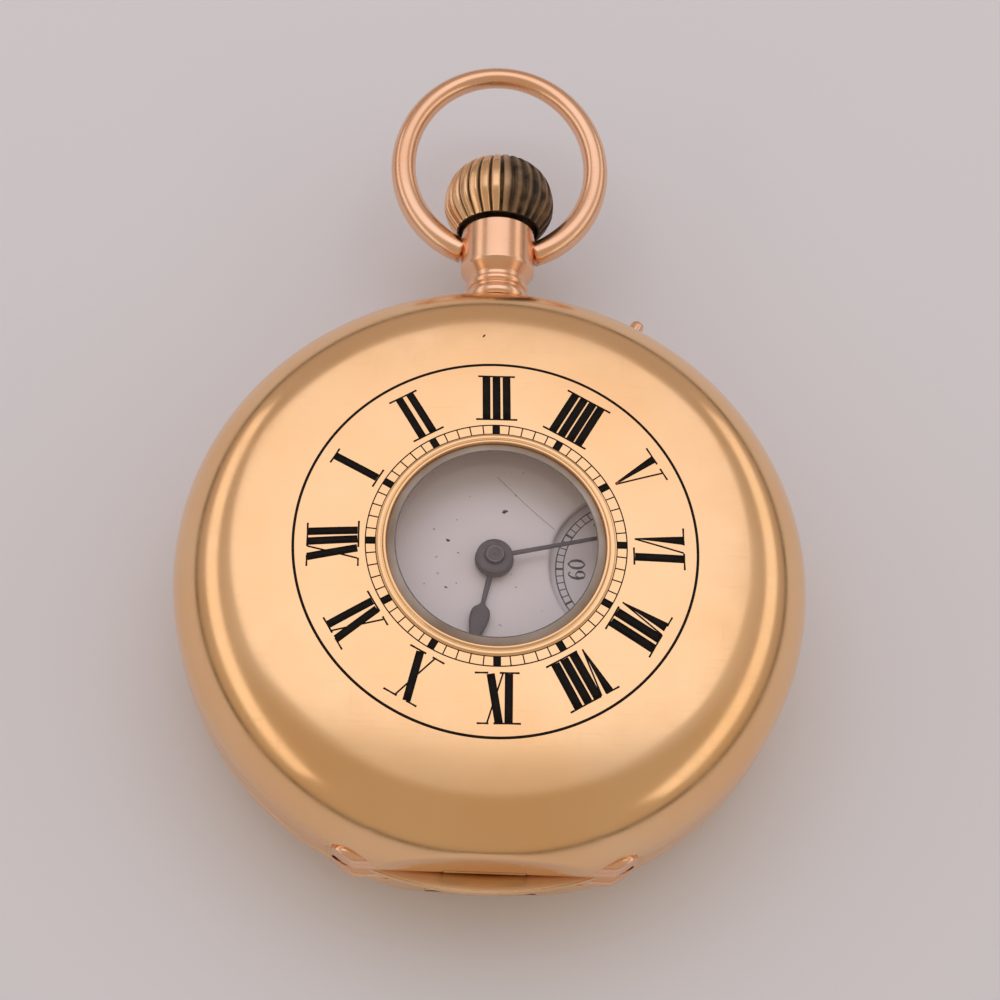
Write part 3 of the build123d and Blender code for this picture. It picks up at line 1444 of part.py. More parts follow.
with BuildPart() as minute_wheel:
    post_bore = motion_post_radius + running_gap
    toothed_disc(minute_point, cannon_under, minute_wheel_thickness, motion_module, minute_teeth,
                 minute_phase, post_bore)
    leaf_height = hour_wheel_under + hour_wheel_thickness - minute_pinion_under
    toothed_disc(minute_point, minute_pinion_under, leaf_height, hour_module, minute_leaves,
                 minute_pinion_phase, post_bore)
save(minute_wheel.part, "minute_wheel")

with BuildPart() as hour_wheel:
    toothed_disc(hand_axis, hour_wheel_under, hour_wheel_thickness, hour_module, hour_teeth, hour_phase)
    arbor(hand_axis, hour_wheel_under, mid + hour_hand_under + hand_thickness, hour_pipe_radius)
    with BuildSketch(upright(hand_axis, hour_wheel_under)):
        Circle(cannon_radius + running_gap)
    extrude(amount=mid + hour_hand_under + hand_thickness - hour_wheel_under, mode=Mode.SUBTRACT)
save(hour_wheel.part, "hour_wheel")

setting_under = mid + setting_drop
with BuildPart() as setting_wheel:
    for low, thickness in ((setting_under, setting_lower_thickness), (cannon_under, minute_wheel_thickness)):
        toothed_disc(setting_point, low, thickness, motion_module, setting_teeth, setting_phase)
    arbor(setting_point, setting_under, cannon_under, root(motion_module, setting_teeth))
    with BuildSketch(upright(setting_point, setting_under)):
        Circle(motion_post_radius + running_gap)
    extrude(amount=cannon_under + minute_wheel_thickness - setting_under, mode=Mode.SUBTRACT)
save(setting_wheel.part, "setting_wheel")

# Main plate with its recesses
barrel_recess = tip(barrel_module, barrel_teeth) + recess_gap
plate_recesses = (
    (barrel_point, barrel_recess, barrel_floor_level),
    (hand_axis, tip(centre_module, centre_teeth) + recess_gap, centre_wheel_over + recess_floor_gap),
    (hand_axis, tip(barrel_module, centre_leaves) + recess_gap, barrel_floor_level),
    (third_point, tip(third_module, third_teeth) + recess_gap, third_wheel_over + recess_floor_gap),
    (fourth_point, tip(fourth_module, fourth_teeth) + recess_gap, fourth_wheel_over + recess_floor_gap),
    (escape_point, escape_radius + recess_gap, lever_floor),
    (balance_point, balance_radius + recess_gap, balance_over + wheel_gap * half),
    (balance_point, roller_radius + 2 * recess_gap, lever_floor),
)
slot_start = clutch_start - clutch_travel - recess_gap
pivot_bore_start = clutch_start - stem_pivot_length - crown_travel - recess_gap
slot_half = winding_pinion_radius + recess_gap
foot_direction = lever_bearing + full_turn * half * half
pallet_foot_point = away(lever_point, pallet_cock_reach, foot_direction)
bridge_screw_points = [polar(plate_radius - bridge_screw_inset, bearing) for bearing in bridge_screw_bearings]
cock_screw_points = [cock_foot_point]
case_screw_points = [polar(plate_radius - case_screw_inset, bearing) for bearing in case_screw_bearings]
with BuildPart() as mainplate:
    with BuildSketch(Plane.XY.offset(plate_bottom)):
        Circle(plate_radius)
    extrude(amount=plate_above + plate_below)
    with BuildSketch(Plane.XY.offset(plate_top)):
        Circle(plate_radius - dial_edge)
        Circle(plate_radius - dial_edge - dial_seat_width, mode=Mode.SUBTRACT)
    extrude(amount=dial_gap)
    for point, recess_radius, floor in plate_recesses:
        with BuildSketch(upright(point, plate_bottom - overrun)):
            Circle(recess_radius)
        extrude(amount=floor - plate_bottom + overrun, mode=Mode.SUBTRACT)
    # room for the lever between escape wheel and balance, and for the pallet cock's foot
    with BuildSketch(Plane.XY.offset(plate_bottom - overrun)):
        with Locations(escape_point):
            Circle(escape_radius + recess_gap)
        with Locations(balance_point):
            Circle(roller_radius + 2 * recess_gap)
        with Locations(away(lever_point, pallet_cock_reach, foot_direction)):
            Circle(pallet_cock_foot + recess_gap)
        make_hull()
    extrude(amount=lever_floor - plate_bottom + overrun, mode=Mode.SUBTRACT)
    # motion work recess and the setting wheel's pocket, from the dial side
    with BuildSketch(Plane.XY.offset(motion_floor)):
        Circle(tip(hour_module, hour_teeth) + recess_gap)
        with Locations(minute_point):
            Circle(tip(motion_module, minute_teeth) + recess_gap)
        with Locations(setting_point):
            Circle(setting_tip + recess_gap)
    extrude(amount=motion_recess + overrun, mode=Mode.SUBTRACT)
    with BuildSketch(upright(setting_point, setting_under - motion_gap)):
        Circle(setting_tip + recess_gap)
    extrude(amount=plate_above + overrun, mode=Mode.SUBTRACT)
    # keyless slot for clutch and winding pinion, and the yoke's pocket
    slot_high = mid + winding_pinion_radius + recess_gap
    slot_low = plate_bottom - overrun
    slot_end = (slot_half, pinion_end + recess_gap, slot_high)
    add(block((-slot_half, slot_start, slot_low), slot_end), mode=Mode.SUBTRACT)
    stem_bore_start = pinion_end
    add(rod(stem_level(stem_bore_start), stem_radius + running_gap, plate_radius - pinion_end + overrun),
        mode=Mode.SUBTRACT)
    pivot_bore_length = slot_start - pivot_bore_start + recess_gap
    add(rod(stem_level(pivot_bore_start), stem_pivot_radius + running_gap, pivot_bore_length),
        mode=Mode.SUBTRACT)
    with BuildSketch(Plane.XY.offset(yoke_floor - motion_gap)):
        with Locations(yoke_point):
            Circle(yoke_head_radius + recess_gap)
        with Locations(away(push_meet, 2 * yoke_width, push_bearing)):
            Circle(yoke_width + recess_gap)
        with Locations((clutch_radius, groove_middle - clutch_travel)):
            Circle(yoke_width + recess_gap)
        with Locations((-slot_half * half, groove_middle)):
            Circle(yoke_width + recess_gap)
        make_hull()
    extrude(amount=plate_above + overrun, mode=Mode.SUBTRACT)
    push_room = Plane(((push_inner - 2 * push_travel) * push_x, (push_inner - 2 * push_travel) * push_y, mid),
                      x_dir=(0, 0, 1), z_dir=(push_x, push_y, 0))
    push_room_length = plate_radius - push_inner + 2 * push_travel + overrun
    add(rod(push_room, push_pin_radius + recess_gap, push_room_length), mode=Mode.SUBTRACT)
    with BuildSketch(Plane(push_room.origin, x_dir=(push_x, push_y, 0), z_dir=(0, 0, 1))):
        Rectangle(push_room_length, 2 * (push_pin_radius + recess_gap), align=(Align.MIN, Align.CENTER))
    extrude(amount=yoke_level, mode=Mode.SUBTRACT)
    # pivot holes and screw holes
    holes = [(hand_axis, centre_arbor_radius + running_gap), (third_point, pivot_radius + running_gap),
             (fourth_point, arbor_radius + running_gap), (escape_point, pivot_radius + running_gap),
             (lever_point, pivot_radius + running_gap), (balance_point, pivot_radius + running_gap),
             (barrel_point, barrel_arbor_radius * half + running_gap)]
    for point, hole_radius in holes:
        with BuildSketch(upright(point, plate_bottom)):
            Circle(hole_radius)
        extrude(amount=plate_above + plate_below, mode=Mode.SUBTRACT)
    for point in bridge_screw_points + cock_screw_points:
        with BuildSketch(upright(point, plate_bottom)):
            Circle(screw_shank_radius)
        extrude(amount=screw_depth, mode=Mode.SUBTRACT)
    for point in case_screw_points:
        with BuildSketch(upright(point, plate_bottom)):
            Circle(case_screw_radius)
        extrude(amount=screw_depth, mode=Mode.SUBTRACT)
    with BuildSketch(upright(yoke_point, yoke_floor - screw_depth * half)):
        Circle(yoke_screw_radius)
    extrude(amount=screw_depth, mode=Mode.SUBTRACT)
    # posts for the minute wheel and the setting wheel
    post_top = minute_pinion_under
    arbor(minute_point, motion_floor - motion_gap, post_top, motion_post_radius)
    arbor(setting_point, setting_under - 2 * motion_gap, post_top, motion_post_radius)
save(mainplate.part, "mainplate")


def wedge(start, end):
    """Plan of a sector that reaches past the movement's edge."""
    far = plate_radius + bridge_radius
    middle = (start + end) * half
    return [(0, 0), polar(far, start), polar(far, (start + middle) * half), polar(far, middle),
            polar(far, (middle + end) * half), polar(far, end)]


ratchet_recess = ratchet_tip + recess_gap
crown_wheel_recess = crown_wheel_tip + recess_gap
click_recess = click_spring_radius + click_spring_width
barrel_bridge_arm = ratchet_recess + crown_wheel_margin
crown_wheel_arm = crown_wheel_recess + crown_wheel_margin

with BuildPart() as barrel_bridge:
    with BuildSketch(Plane.XY.offset(bridge_bottom)):
        Circle(bridge_radius)
        Polygon(*wedge(barrel_bridge_start, barrel_bridge_end), align=None, mode=Mode.INTERSECT)
        with Locations(crown_wheel_point):
            Circle(crown_wheel_arm)
        with Locations(barrel_point):
            Circle(barrel_bridge_arm)
        Circle(centre_boss_radius + bridge_split, mode=Mode.SUBTRACT)
    extrude(amount=bridge_thickness)
    with BuildSketch(Plane.XY.offset(bridge_bottom - overrun)):
        with Locations(barrel_point):
            Circle(ratchet_recess)
        with Locations(crown_wheel_point):
            Circle(crown_wheel_recess)
        with Locations(click_point):
            Circle(click_recess)
    extrude(amount=wheel_recess_depth + overrun, mode=Mode.SUBTRACT)
    well_floor = bridge_bottom - overrun + wheel_recess_depth
    add(block((-slot_half, clutch_start - clutch_travel - recess_gap, well_floor),
              (slot_half, pinion_end + recess_gap, plate_bottom + overrun)), mode=Mode.SUBTRACT)
    with BuildSketch(upright(barrel_point, bridge_bottom)):
        Circle(barrel_arbor_radius * half + running_gap)
    extrude(amount=bridge_thickness, mode=Mode.SUBTRACT)
    for point in bridge_screw_points[:3] + [click_point]:
        with BuildSketch(upright(point, bridge_bottom)):
            Circle(screw_shank_radius)
        extrude(amount=bridge_thickness, mode=Mode.SUBTRACT)
save(barrel_bridge.part, "barrel_bridge")

bridge_jewel_points = [third_point, fourth_point, escape_point]
with BuildPart() as train_bridge:
    with BuildSketch(Plane.XY.offset(bridge_bottom)):
        Circle(bridge_radius)
        Polygon(*wedge(train_bridge_start, train_bridge_end), align=None, mode=Mode.INTERSECT)
        with Locations(crown_wheel_point):
            Circle(crown_wheel_arm + bridge_split, mode=Mode.SUBTRACT)
        with Locations(barrel_point):
            Circle(barrel_bridge_arm + bridge_split, mode=Mode.SUBTRACT)
        Circle(centre_boss_radius)
    extrude(amount=bridge_thickness)
    for point in bridge_jewel_points:
        with BuildSketch(upright(point, bridge_bottom)):
            Circle(jewel_radius)
        extrude(amount=bridge_thickness, mode=Mode.SUBTRACT)
    with BuildSketch(upright(hand_axis, bridge_bottom)):
        Circle(centre_arbor_radius + running_gap)
    extrude(amount=bridge_thickness, mode=Mode.SUBTRACT)
    for point in bridge_screw_points[3:]:
        with BuildSketch(upright(point, bridge_bottom)):
            Circle(screw_shank_radius)
        extrude(amount=bridge_thickness, mode=Mode.SUBTRACT)
save(train_bridge.part, "train_bridge")

with BuildPart() as balance_cock:
    with BuildSketch(Plane.XY.offset(cock_under)):
        with Locations(balance_point):
            Circle(cock_head_radius)
        with Locations(cock_foot_point):
            Circle(cock_foot_radius)
        make_hull()
    extrude(amount=cock_thickness)
    with BuildSketch(Plane.XY.offset(cock_under)):
        with Locations(cock_foot_point):
            Circle(cock_foot_radius)
    extrude(amount=plate_bottom - cock_under)
    with BuildSketch(upright(balance_point, cock_under)):
        Circle(pivot_radius + running_gap)
    extrude(amount=cock_thickness, mode=Mode.SUBTRACT)
    with BuildSketch(upright(cock_foot_point, cock_under)):
        Circle(screw_shank_radius)
    extrude(amount=plate_bottom - cock_under, mode=Mode.SUBTRACT)
    with BuildSketch(upright(stud_point, cock_over - cock_thickness)):
        Circle(stud_radius)
    extrude(amount=cock_thickness, mode=Mode.SUBTRACT)
save(balance_cock.part, "balance_cock")

with BuildPart() as pallet_cock:
    with BuildSketch(Plane.XY.offset(pallet_cock_under)):
        with Locations(lever_point):
            Circle(pallet_cock_head)
        with Locations(pallet_foot_point):
            Circle(pallet_cock_foot)
        make_hull()
    extrude(amount=pallet_cock_thickness)
    with BuildSketch(upright(pallet_foot_point, pallet_cock_under)):
        Circle(pallet_cock_foot)
    extrude(amount=lever_floor - pallet_cock_under)
    with BuildSketch(upright(lever_point, pallet_cock_under)):
        Circle(pivot_radius + running_gap)
    extrude(amount=pallet_cock_thickness, mode=Mode.SUBTRACT)
save(pallet_cock.part, "pallet_cock")

# Jewels: three in the train bridge and the endstone on the cock
with BuildPart() as jewels:
    with BuildSketch(Plane.XY.offset(bridge_bottom)):
        with Locations(*bridge_jewel_points):
            Circle(jewel_radius)
        with Locations(*bridge_jewel_points):
            Circle(jewel_hole_radius, mode=Mode.SUBTRACT)
    extrude(amount=jewel_thickness)
    arbor(balance_point, regulator_under, cock_under, endstone_radius)
save(jewels.part, "jewels")

# Screws of bridges and cock, and the two case screws
with BuildPart() as bridge_screws:
    with BuildSketch(Plane.XY.offset(bridge_bottom - screw_head_height)):
        with Locations(*bridge_screw_points):
            Circle(screw_head_radius)
    extrude(amount=screw_head_height)
    with BuildSketch(Plane.XY.offset(bridge_bottom)):
        with Locations(*bridge_screw_points):
            Circle(screw_shank_radius)
    extrude(amount=bridge_thickness + screw_depth)
    arbor(cock_foot_point, cock_under - screw_head_height, cock_under, screw_head_radius)
    arbor(cock_foot_point, cock_under, plate_bottom + screw_depth, screw_shank_radius)
save(bridge_screws.part, "bridge_screws")

case_head_over = ledge_top - ledge_height
with BuildPart() as case_screws:
    with BuildSketch(Plane.XY.offset(case_head_over - screw_head_height)):
        with Locations(*case_screw_points):
            Circle(screw_head_radius)
    extrude(amount=screw_head_height)
    with BuildSketch(Plane.XY.offset(case_head_over)):
        with Locations(*case_screw_points):
            Circle(case_screw_radius)
    extrude(amount=plate_bottom + screw_depth - case_head_over)
save(case_screws.part, "case_screws")
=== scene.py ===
import bmesh
import bpy
import json
import numpy as np
from mathutils import Matrix


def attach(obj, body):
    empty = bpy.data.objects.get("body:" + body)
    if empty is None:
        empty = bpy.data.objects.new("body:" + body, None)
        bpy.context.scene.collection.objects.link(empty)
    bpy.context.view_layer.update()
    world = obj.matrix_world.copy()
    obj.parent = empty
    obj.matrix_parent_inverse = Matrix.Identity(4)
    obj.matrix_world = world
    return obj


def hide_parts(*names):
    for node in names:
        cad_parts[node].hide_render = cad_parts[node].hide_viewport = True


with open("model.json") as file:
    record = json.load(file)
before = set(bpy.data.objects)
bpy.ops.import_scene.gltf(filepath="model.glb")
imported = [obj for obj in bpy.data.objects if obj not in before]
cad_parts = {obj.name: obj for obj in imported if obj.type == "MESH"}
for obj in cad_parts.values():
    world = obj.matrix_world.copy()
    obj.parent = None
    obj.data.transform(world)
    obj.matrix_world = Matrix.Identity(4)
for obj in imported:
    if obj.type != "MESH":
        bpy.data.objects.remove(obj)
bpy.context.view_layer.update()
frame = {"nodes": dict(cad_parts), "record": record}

# Half hunter pocket watch. All lengths below are in millimetres and go to metres when a mesh is
# made. The frame is the model's own: +Z out of the front cover, +Y to the pendant, +X to six.
METRE = 0.001
MID = 6.0                       # height of the stem's axis
CASE = 16.986                   # outer radius of the case
SEAM = 0.9                      # mid plane to the edge of a cover
COVER = 5.1                     # height of a cover over its edge
FACE_TURN = 1.35                # the printed face stands a little turned against the case
TRACK = 6.8                     # outer radius of the minute track
HOLE = 5.95                     # radius of the window's opening in the cover
SKIN = 0.006                    # how far a skin stands over the case middle
MERGE = 2e-6                    # points nearer than this are one, in metres


# Shapes
def make_piece(name, grids, body, material, replaces=(), attribute=None):
    """One mesh from several point grids. A grid is (points, wrap_u, wrap_v) and, for an attribute,
    its values: points as a rows by columns by 3 array in mm; a wrapped side joins its last line to
    its first. Points that meet are merged, which closes seams and poles, and the faces are turned
    outwards."""
    points, quads, values, start = [], [], [], 0
    for grid in grids:
        block, wrap_u, wrap_v = grid[:3]
        rows, columns = block.shape[:2]
        u = np.arange(rows if wrap_u else rows - 1)
        v = np.arange(columns if wrap_v else columns - 1)
        uu, vv = np.meshgrid(u, v, indexing="ij")
        nu, nv = (uu + 1) % rows, (vv + 1) % columns
        corners = [uu * columns + vv, nu * columns + vv, nu * columns + nv, uu * columns + nv]
        quads.append(np.stack(corners, -1).reshape(-1, 4) + start)
        points.append(block.reshape(-1, 3))
        values.append(grid[3].reshape(-1) if len(grid) > 3 else np.zeros(rows * columns))
        start += rows * columns
    points = np.concatenate(points) * METRE
    quads = np.concatenate(quads)
    mesh = bpy.data.meshes.new(name)
    mesh.from_pydata(points.tolist(), [], quads.tolist())
    if attribute:
        data = mesh.attributes.new(attribute, "FLOAT", "POINT").data
        data.foreach_set("value", np.concatenate(values).astype(np.float32))
    work = bmesh.new()
    work.from_mesh(mesh)
    bmesh.ops.remove_doubles(work, verts=work.verts, dist=MERGE)
    bmesh.ops.dissolve_degenerate(work, edges=work.edges, dist=MERGE * 0.5)
    bmesh.ops.recalc_face_normals(work, faces=work.faces)
    work.to_mesh(mesh)
    work.free()
    mesh.polygons.foreach_set("use_smooth", np.ones(len(mesh.polygons), bool))
    mesh.materials.append(material)
    obj = bpy.data.objects.new(name, mesh)
    bpy.context.scene.collection.objects.link(obj)
    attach(obj, body)
    if replaces:
        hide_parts(*replaces)
    return obj


def softened(corners, steps=5):
    """Profile through corners (a, b, radius): each corner is a parabola between the two points that
    lie one radius away along its sides, and a point just outside each keeps the long sides flat."""
    hold = 0.35
    out = []
    count = len(corners)
    for i, (a, b, radius) in enumerate(corners):
        here = np.array([a, b], float)
        if i in (0, count - 1) or radius <= 0:
            out.append(here)
            continue
        before = np.array(corners[i - 1][:2], float) - here
        after = np.array(corners[i + 1][:2], float) - here
        lb, la = np.hypot(*before), np.hypot(*after)
        r = min(radius, 0.45 * lb, 0.45 * la)
        p0, p2 = here + before / lb * r, here + after / la * r
        if lb > 2.6 * r:
            out.append(here + before / lb * r * (1 + hold))
        for t in np.linspace(0, 1, steps):
            out.append((1 - t) ** 2 * p0 + 2 * t * (1 - t) * here + t * t * p2)
        if la > 2.6 * r:
            out.append(here + after / la * r * (1 + hold))
    return np.array(out)


def circle(count):
    """Angles evenly round a full turn."""
    return np.linspace(0, 2 * np.pi, count, endpoint=False)


def turned(profile, angles, centre=(0.0, 0.0), stem=False):
    """Surface of revolution: profile rows (radius, height) carried through the angles, or round a
    full turn in so many steps. It stands on +Z at the centre, or lies along the stem's axis."""
    if np.isscalar(angles):
        angles = circle(angles)
    r, h = profile[:, 0][:, None], profile[:, 1][:, None]
    c, s = np.cos(angles)[None, :], np.sin(angles)[None, :]
    if stem:
        return np.stack([r * c, h + 0 * c, MID + r * s], -1)
    return np.stack([centre[0] + r * c, centre[1] + r * s, h + 0 * c], -1)


def closed_turn(name, corners, count, body, material, replaces=(), centre=(0.0, 0.0)):
    """Turned piece from a profile that starts and ends on the axis, or that closes on itself. The
    heights of its corners are over the stem's axis."""
    profile = softened([(radius, MID + height, soft) for radius, height, soft in corners])
    return make_piece(name, [(turned(profile, count, centre), False, True)], body, material, replaces)


def tube(path, radius, sides):
    """Round tube: circles of the given radii carried along a path that lies level, in planes across
    its direction, its ends closed on the path."""
    path = np.asarray(path, float)
    radius = np.broadcast_to(np.asarray(radius, float), len(path))
    ahead = np.gradient(path, axis=0)
    ahead /= np.linalg.norm(ahead, axis=1)[:, None]
    side = np.cross(ahead, (0.0, 0.0, 1.0))
    side /= np.linalg.norm(side, axis=1)[:, None]
    over = np.cross(side, ahead)
    a = circle(sides)
    ring = side[:, None] * np.cos(a)[None, :, None] + over[:, None] * np.sin(a)[None, :, None]
    ends = path[[0, -1], None].repeat(sides, 1)
    return np.concatenate([ends[:1], path[:, None] + radius[:, None, None] * ring, ends[1:]])


def arc(start, end, steps):
    """Angles in degrees from start to end, as radians."""
    return np.radians(np.linspace(start, end, steps))


# Profile of a cover: an upright edge, a shoulder arc that leaves it smoothly, then a shallow crown
SHOULDER_WIDTH, SHOULDER_HEIGHT, EDGE, RISE = 3.75, 4.3, 0.3, 0.5
SHOULDER_RADIUS = (SHOULDER_WIDTH**2 + SHOULDER_HEIGHT**2) / (2 * SHOULDER_WIDTH)
SHOULDER_IN = CASE - SHOULDER_WIDTH
CROWN_RADIUS = (SHOULDER_IN - HOLE) ** 2 / (2 * RISE) + RISE / 2
WALL = 0.45


def cover_top(radius):
    """Height over the cover's edge at a distance from its centre: crown circle inside, shoulder
    circle outside."""
    radius = np.asarray(radius, float)
    crown = COVER - CROWN_RADIUS + np.sqrt(CROWN_RADIUS**2 - np.clip(radius - HOLE, 0, None) ** 2)
    reach = np.clip(radius - (CASE - SHOULDER_RADIUS), -SHOULDER_RADIUS, SHOULDER_RADIUS)
    shoulder = EDGE + np.sqrt(np.clip(SHOULDER_RADIUS**2 - reach**2, 0, None))
    return np.where(radius < SHOULDER_IN, crown, shoulder)


def face_height(radius):
    """Height of the front cover's surface over the rest face."""
    return MID + SEAM + cover_top(radius)


# Shader maths
class Value:
    """A socket that adds Math nodes when it is used in an expression."""
    tree = None

    def __init__(self, socket):
        self.socket = socket

    def maths(self, operation, *others):
        node = Value.tree.nodes.new("ShaderNodeMath")
        node.operation = operation
        for i, item in enumerate((self,) + others):
            if isinstance(item, Value):
                Value.tree.links.new(item.socket, node.inputs[i])
            else:
                node.inputs[i].default_value = float(item)
        return Value(node.outputs[0])

    def __add__(self, other):
        return self.maths("ADD", other)

    def __mul__(self, other):
        return self.maths("MULTIPLY", other)

    def __sub__(self, other):
        return self.maths("SUBTRACT", other)

    def __rsub__(self, other):
        return (self * -1.0).maths("ADD", other)

    def clamp(self):
        """Held between 0 and 1."""
        return self.maths("MAXIMUM", 0.0).maths("MINIMUM", 1.0)


class Finish:
    """A material, or the world, and its node tree. node() is the one method that adds nodes."""

    def __init__(self, name, owner=None, shader="Principled BSDF"):
        self.material = owner or bpy.data.materials.new(name)
        self.material.use_nodes = True
        self.tree = self.material.node_tree
        self.shader = self.tree.nodes[shader]
        Value.tree = self.tree

    def node(self, kind, settings=None, inputs=None, **sockets):
        """Adds a node: its settings, then values or links of its sockets by number or by name."""
        node = self.tree.nodes.new(kind)
        for key, value in (settings or {}).items():
            setattr(node, key, value)
        named = {key.replace("_", " "): value for key, value in sockets.items()}
        for key, value in {**(inputs or {}), **named}.items():
            self.join(value, node.inputs[key])
        return node

    def join(self, value, socket):
        """Links a Value to a socket, or writes a plain value or colour in it."""
        if isinstance(value, Value):
            self.tree.links.new(value.socket, socket)
        elif isinstance(value, tuple) and len(value) == 3 and socket.type == "RGBA":
            socket.default_value = (*value, 1.0)
        else:
            socket.default_value = value

    def noise(self, scale, detail=3.0, rough=0.55, stretch=(1, 1, 1), turn=(0, 0, 0)):
        """Noise from 0 to 1 on object coordinates, stretched and turned."""
        where = Value(self.node("ShaderNodeTexCoord").outputs["Object"])
        placed = Value(self.node("ShaderNodeMapping", Vector=where, Scale=stretch, Rotation=turn).outputs[0])
        return Value(self.node("ShaderNodeTexNoise", Vector=placed, Scale=scale, Detail=detail,
                               Roughness=rough).outputs[0])

    def ramp(self, value, low, high):
        """Value brought from low..high to 0..1."""
        return Value(self.node("ShaderNodeMapRange", {"clamp": True}, Value=value, From_Min=low,
                               From_Max=high).outputs[0])

    def mix(self, share, first, second):
        """Colour mixed from first to second by a share."""
        node = self.node("ShaderNodeMix", {"data_type": "RGBA"}, {0: share, 6: first, 7: second})
        return Value(node.outputs[2])

    def set(self, **sockets):
        """Values or links of the Principled shader's sockets."""
        for key, value in sockets.items():
            self.join(value, self.shader.inputs[key.replace("_", " ")])

    def bump(self, height, distance, strength):
        """Bump on the shader's normal, with its height in metres."""
        node = self.node("ShaderNodeBump", Height=height, Distance=distance, Strength=strength)
        self.set(Normal=Value(node.outputs[0]))


def gold(name, fair, deep, rough=0.13, wear=1.0, waves=1.0):
    """Polished gold: two close tints in clouds, hairline scratches two ways, smudges and a faint
    unevenness of the sheet."""
    finish = Finish(name)
    clouds = finish.ramp(finish.noise(140.0, 2.0), 0.35, 0.65)
    smudge = finish.ramp(finish.noise(420.0, 4.0, 0.6), 0.35, 0.75)
    hairs_a = finish.ramp(finish.noise(300.0, 3.0, 0.7, (1.0, 22.0, 1.0), (0, 0, 0.6)), 0.58, 0.72)
    hairs_b = finish.ramp(finish.noise(260.0, 3.0, 0.7, (24.0, 1.0, 1.0), (0, 0, -0.35)), 0.6, 0.74)
    hairs = (hairs_a + hairs_b).clamp()
    finish.set(Base_Color=finish.mix(clouds, fair, deep), Metallic=1.0,
               Roughness=smudge * 0.07 * wear + hairs * 0.06 * wear + rough)
    sheet = finish.noise(95.0, 1.0)
    fine = finish.noise(5200.0, 2.0)
    finish.bump(sheet * waves + fine * 0.012 * wear - hairs * 0.02 * wear, 2.2e-5, 0.5)
    return finish.material


def metal(name, colour, dark, rough, grain=2200.0, depth=2e-6, stretch=(1, 1, 1)):
    """Fine grained metal: a darker tint in clouds, and a grain that also roughens it."""
    finish = Finish(name)
    clouds = finish.ramp(finish.noise(380.0, 3.0), 0.3, 0.7)
    grains = finish.noise(grain, 3.0, 0.6, stretch)
    finish.set(Base_Color=finish.mix(clouds, colour, dark), Metallic=1.0,
               Roughness=grains * 0.14 + (rough - 0.05))
    finish.bump(grains, depth, 0.6)
    return finish.material


yellow_gold = gold("yellow_gold", (0.94, 0.61, 0.335), (0.92, 0.565, 0.285), 0.15)
band_gold = gold("band_gold", (0.92, 0.58, 0.31), (0.90, 0.53, 0.26), 0.16)
rose_gold = gold("rose_gold", (0.93, 0.59, 0.39), (0.89, 0.52, 0.32), 0.2, 1.2)
hinge_gold = gold("hinge_gold", (0.86, 0.66, 0.45), (0.80, 0.58, 0.38), 0.32)
inside_gold = gold("inside_gold", (0.90, 0.62, 0.32), (0.84, 0.53, 0.25), 0.22, 1.3)

steel = metal("polished_steel", (0.62, 0.61, 0.60), (0.50, 0.49, 0.48), 0.26)
wheel_brass = metal("wheel_brass", (0.86, 0.64, 0.31), (0.78, 0.55, 0.24), 0.3)
gilt = metal("frosted_gilt", (0.84, 0.64, 0.33), (0.78, 0.57, 0.27), 0.46, 9000.0, 5e-6)
blued = metal("blued_steel", (0.050, 0.060, 0.13), (0.035, 0.038, 0.07), 0.24)


def clouded(name, fair, deep, clouds, span, rough, bump, **sockets):
    """Two tints in clouds: clouds are (scale, detail), span the part of their range that shows, rough
    (least, added by the clouds), bump (scale, detail, depth, strength)."""
    finish = Finish(name)
    share = finish.ramp(finish.noise(*clouds), *span)
    finish.set(Base_Color=finish.mix(share, fair, deep), Roughness=share * rough[1] + rough[0], **sockets)
    finish.bump(finish.noise(*bump[:2]), *bump[2:])
    return finish.material


def enamel_finish():
    """White vitreous enamel: faint cloudiness, specks of grit, a clear glossy skin."""
    finish = Finish("white_enamel")
    clouds = finish.ramp(finish.noise(160.0, 3.0), 0.3, 0.7)
    grit = finish.ramp(finish.noise(2600.0, 1.0), 0.77, 0.79)
    tone = finish.mix(clouds, (0.93, 0.865, 0.90), (0.90, 0.835, 0.875))
    finish.set(Base_Color=finish.mix(grit * 0.5, tone, (0.30, 0.26, 0.25)), Roughness=clouds * 0.06 + 0.16)
    finish.bump(finish.noise(260.0, 1.0), 1.2e-5, 0.35)
    return finish.material


def inlay_finish(name, colour, faded):
    """Black fired into the engraving: slightly uneven, faded and duller where it has worn."""
    return clouded(name, colour, faded, (1500.0, 3.0), (0.45, 0.8), (0.42, 0.25), (5000.0, 2.0, 3e-6, 0.5),
                   Specular_IOR_Level=0.12)


def clear_glass(name, tint, seen, rough):
    """Thin clear glass: see-through, with part of the mirror of a glass surface and a little dust on
    its outer face only."""
    finish = Finish(name)
    dust = finish.ramp(finish.noise(3200.0, 4.0, 0.7), 0.55, 0.8)
    finish.set(Base_Color=(0.9, 0.92, 0.92), Roughness=dust * 0.1 + rough)
    fresnel = Value(finish.node("ShaderNodeFresnel", IOR=1.5).outputs[0])
    outside = 1.0 - Value(finish.node("ShaderNodeNewGeometry").outputs["Backfacing"])
    share = ((fresnel * 0.4 + dust * 0.012 + seen) * outside).clamp()
    clear = Value(finish.node("ShaderNodeBsdfTransparent", Color=tint).outputs[0])
    mirror = Value(finish.node("ShaderNodeBsdfGlossy", Color=(1.0, 1.0, 1.0),
                               Roughness=dust * 0.1 + rough).outputs[0])
    both = Value(finish.node("ShaderNodeMixShader", None, {0: share, 1: clear, 2: mirror}).outputs[0])
    finish.join(both, finish.tree.nodes["Material Output"].inputs["Surface"])
    return finish.material


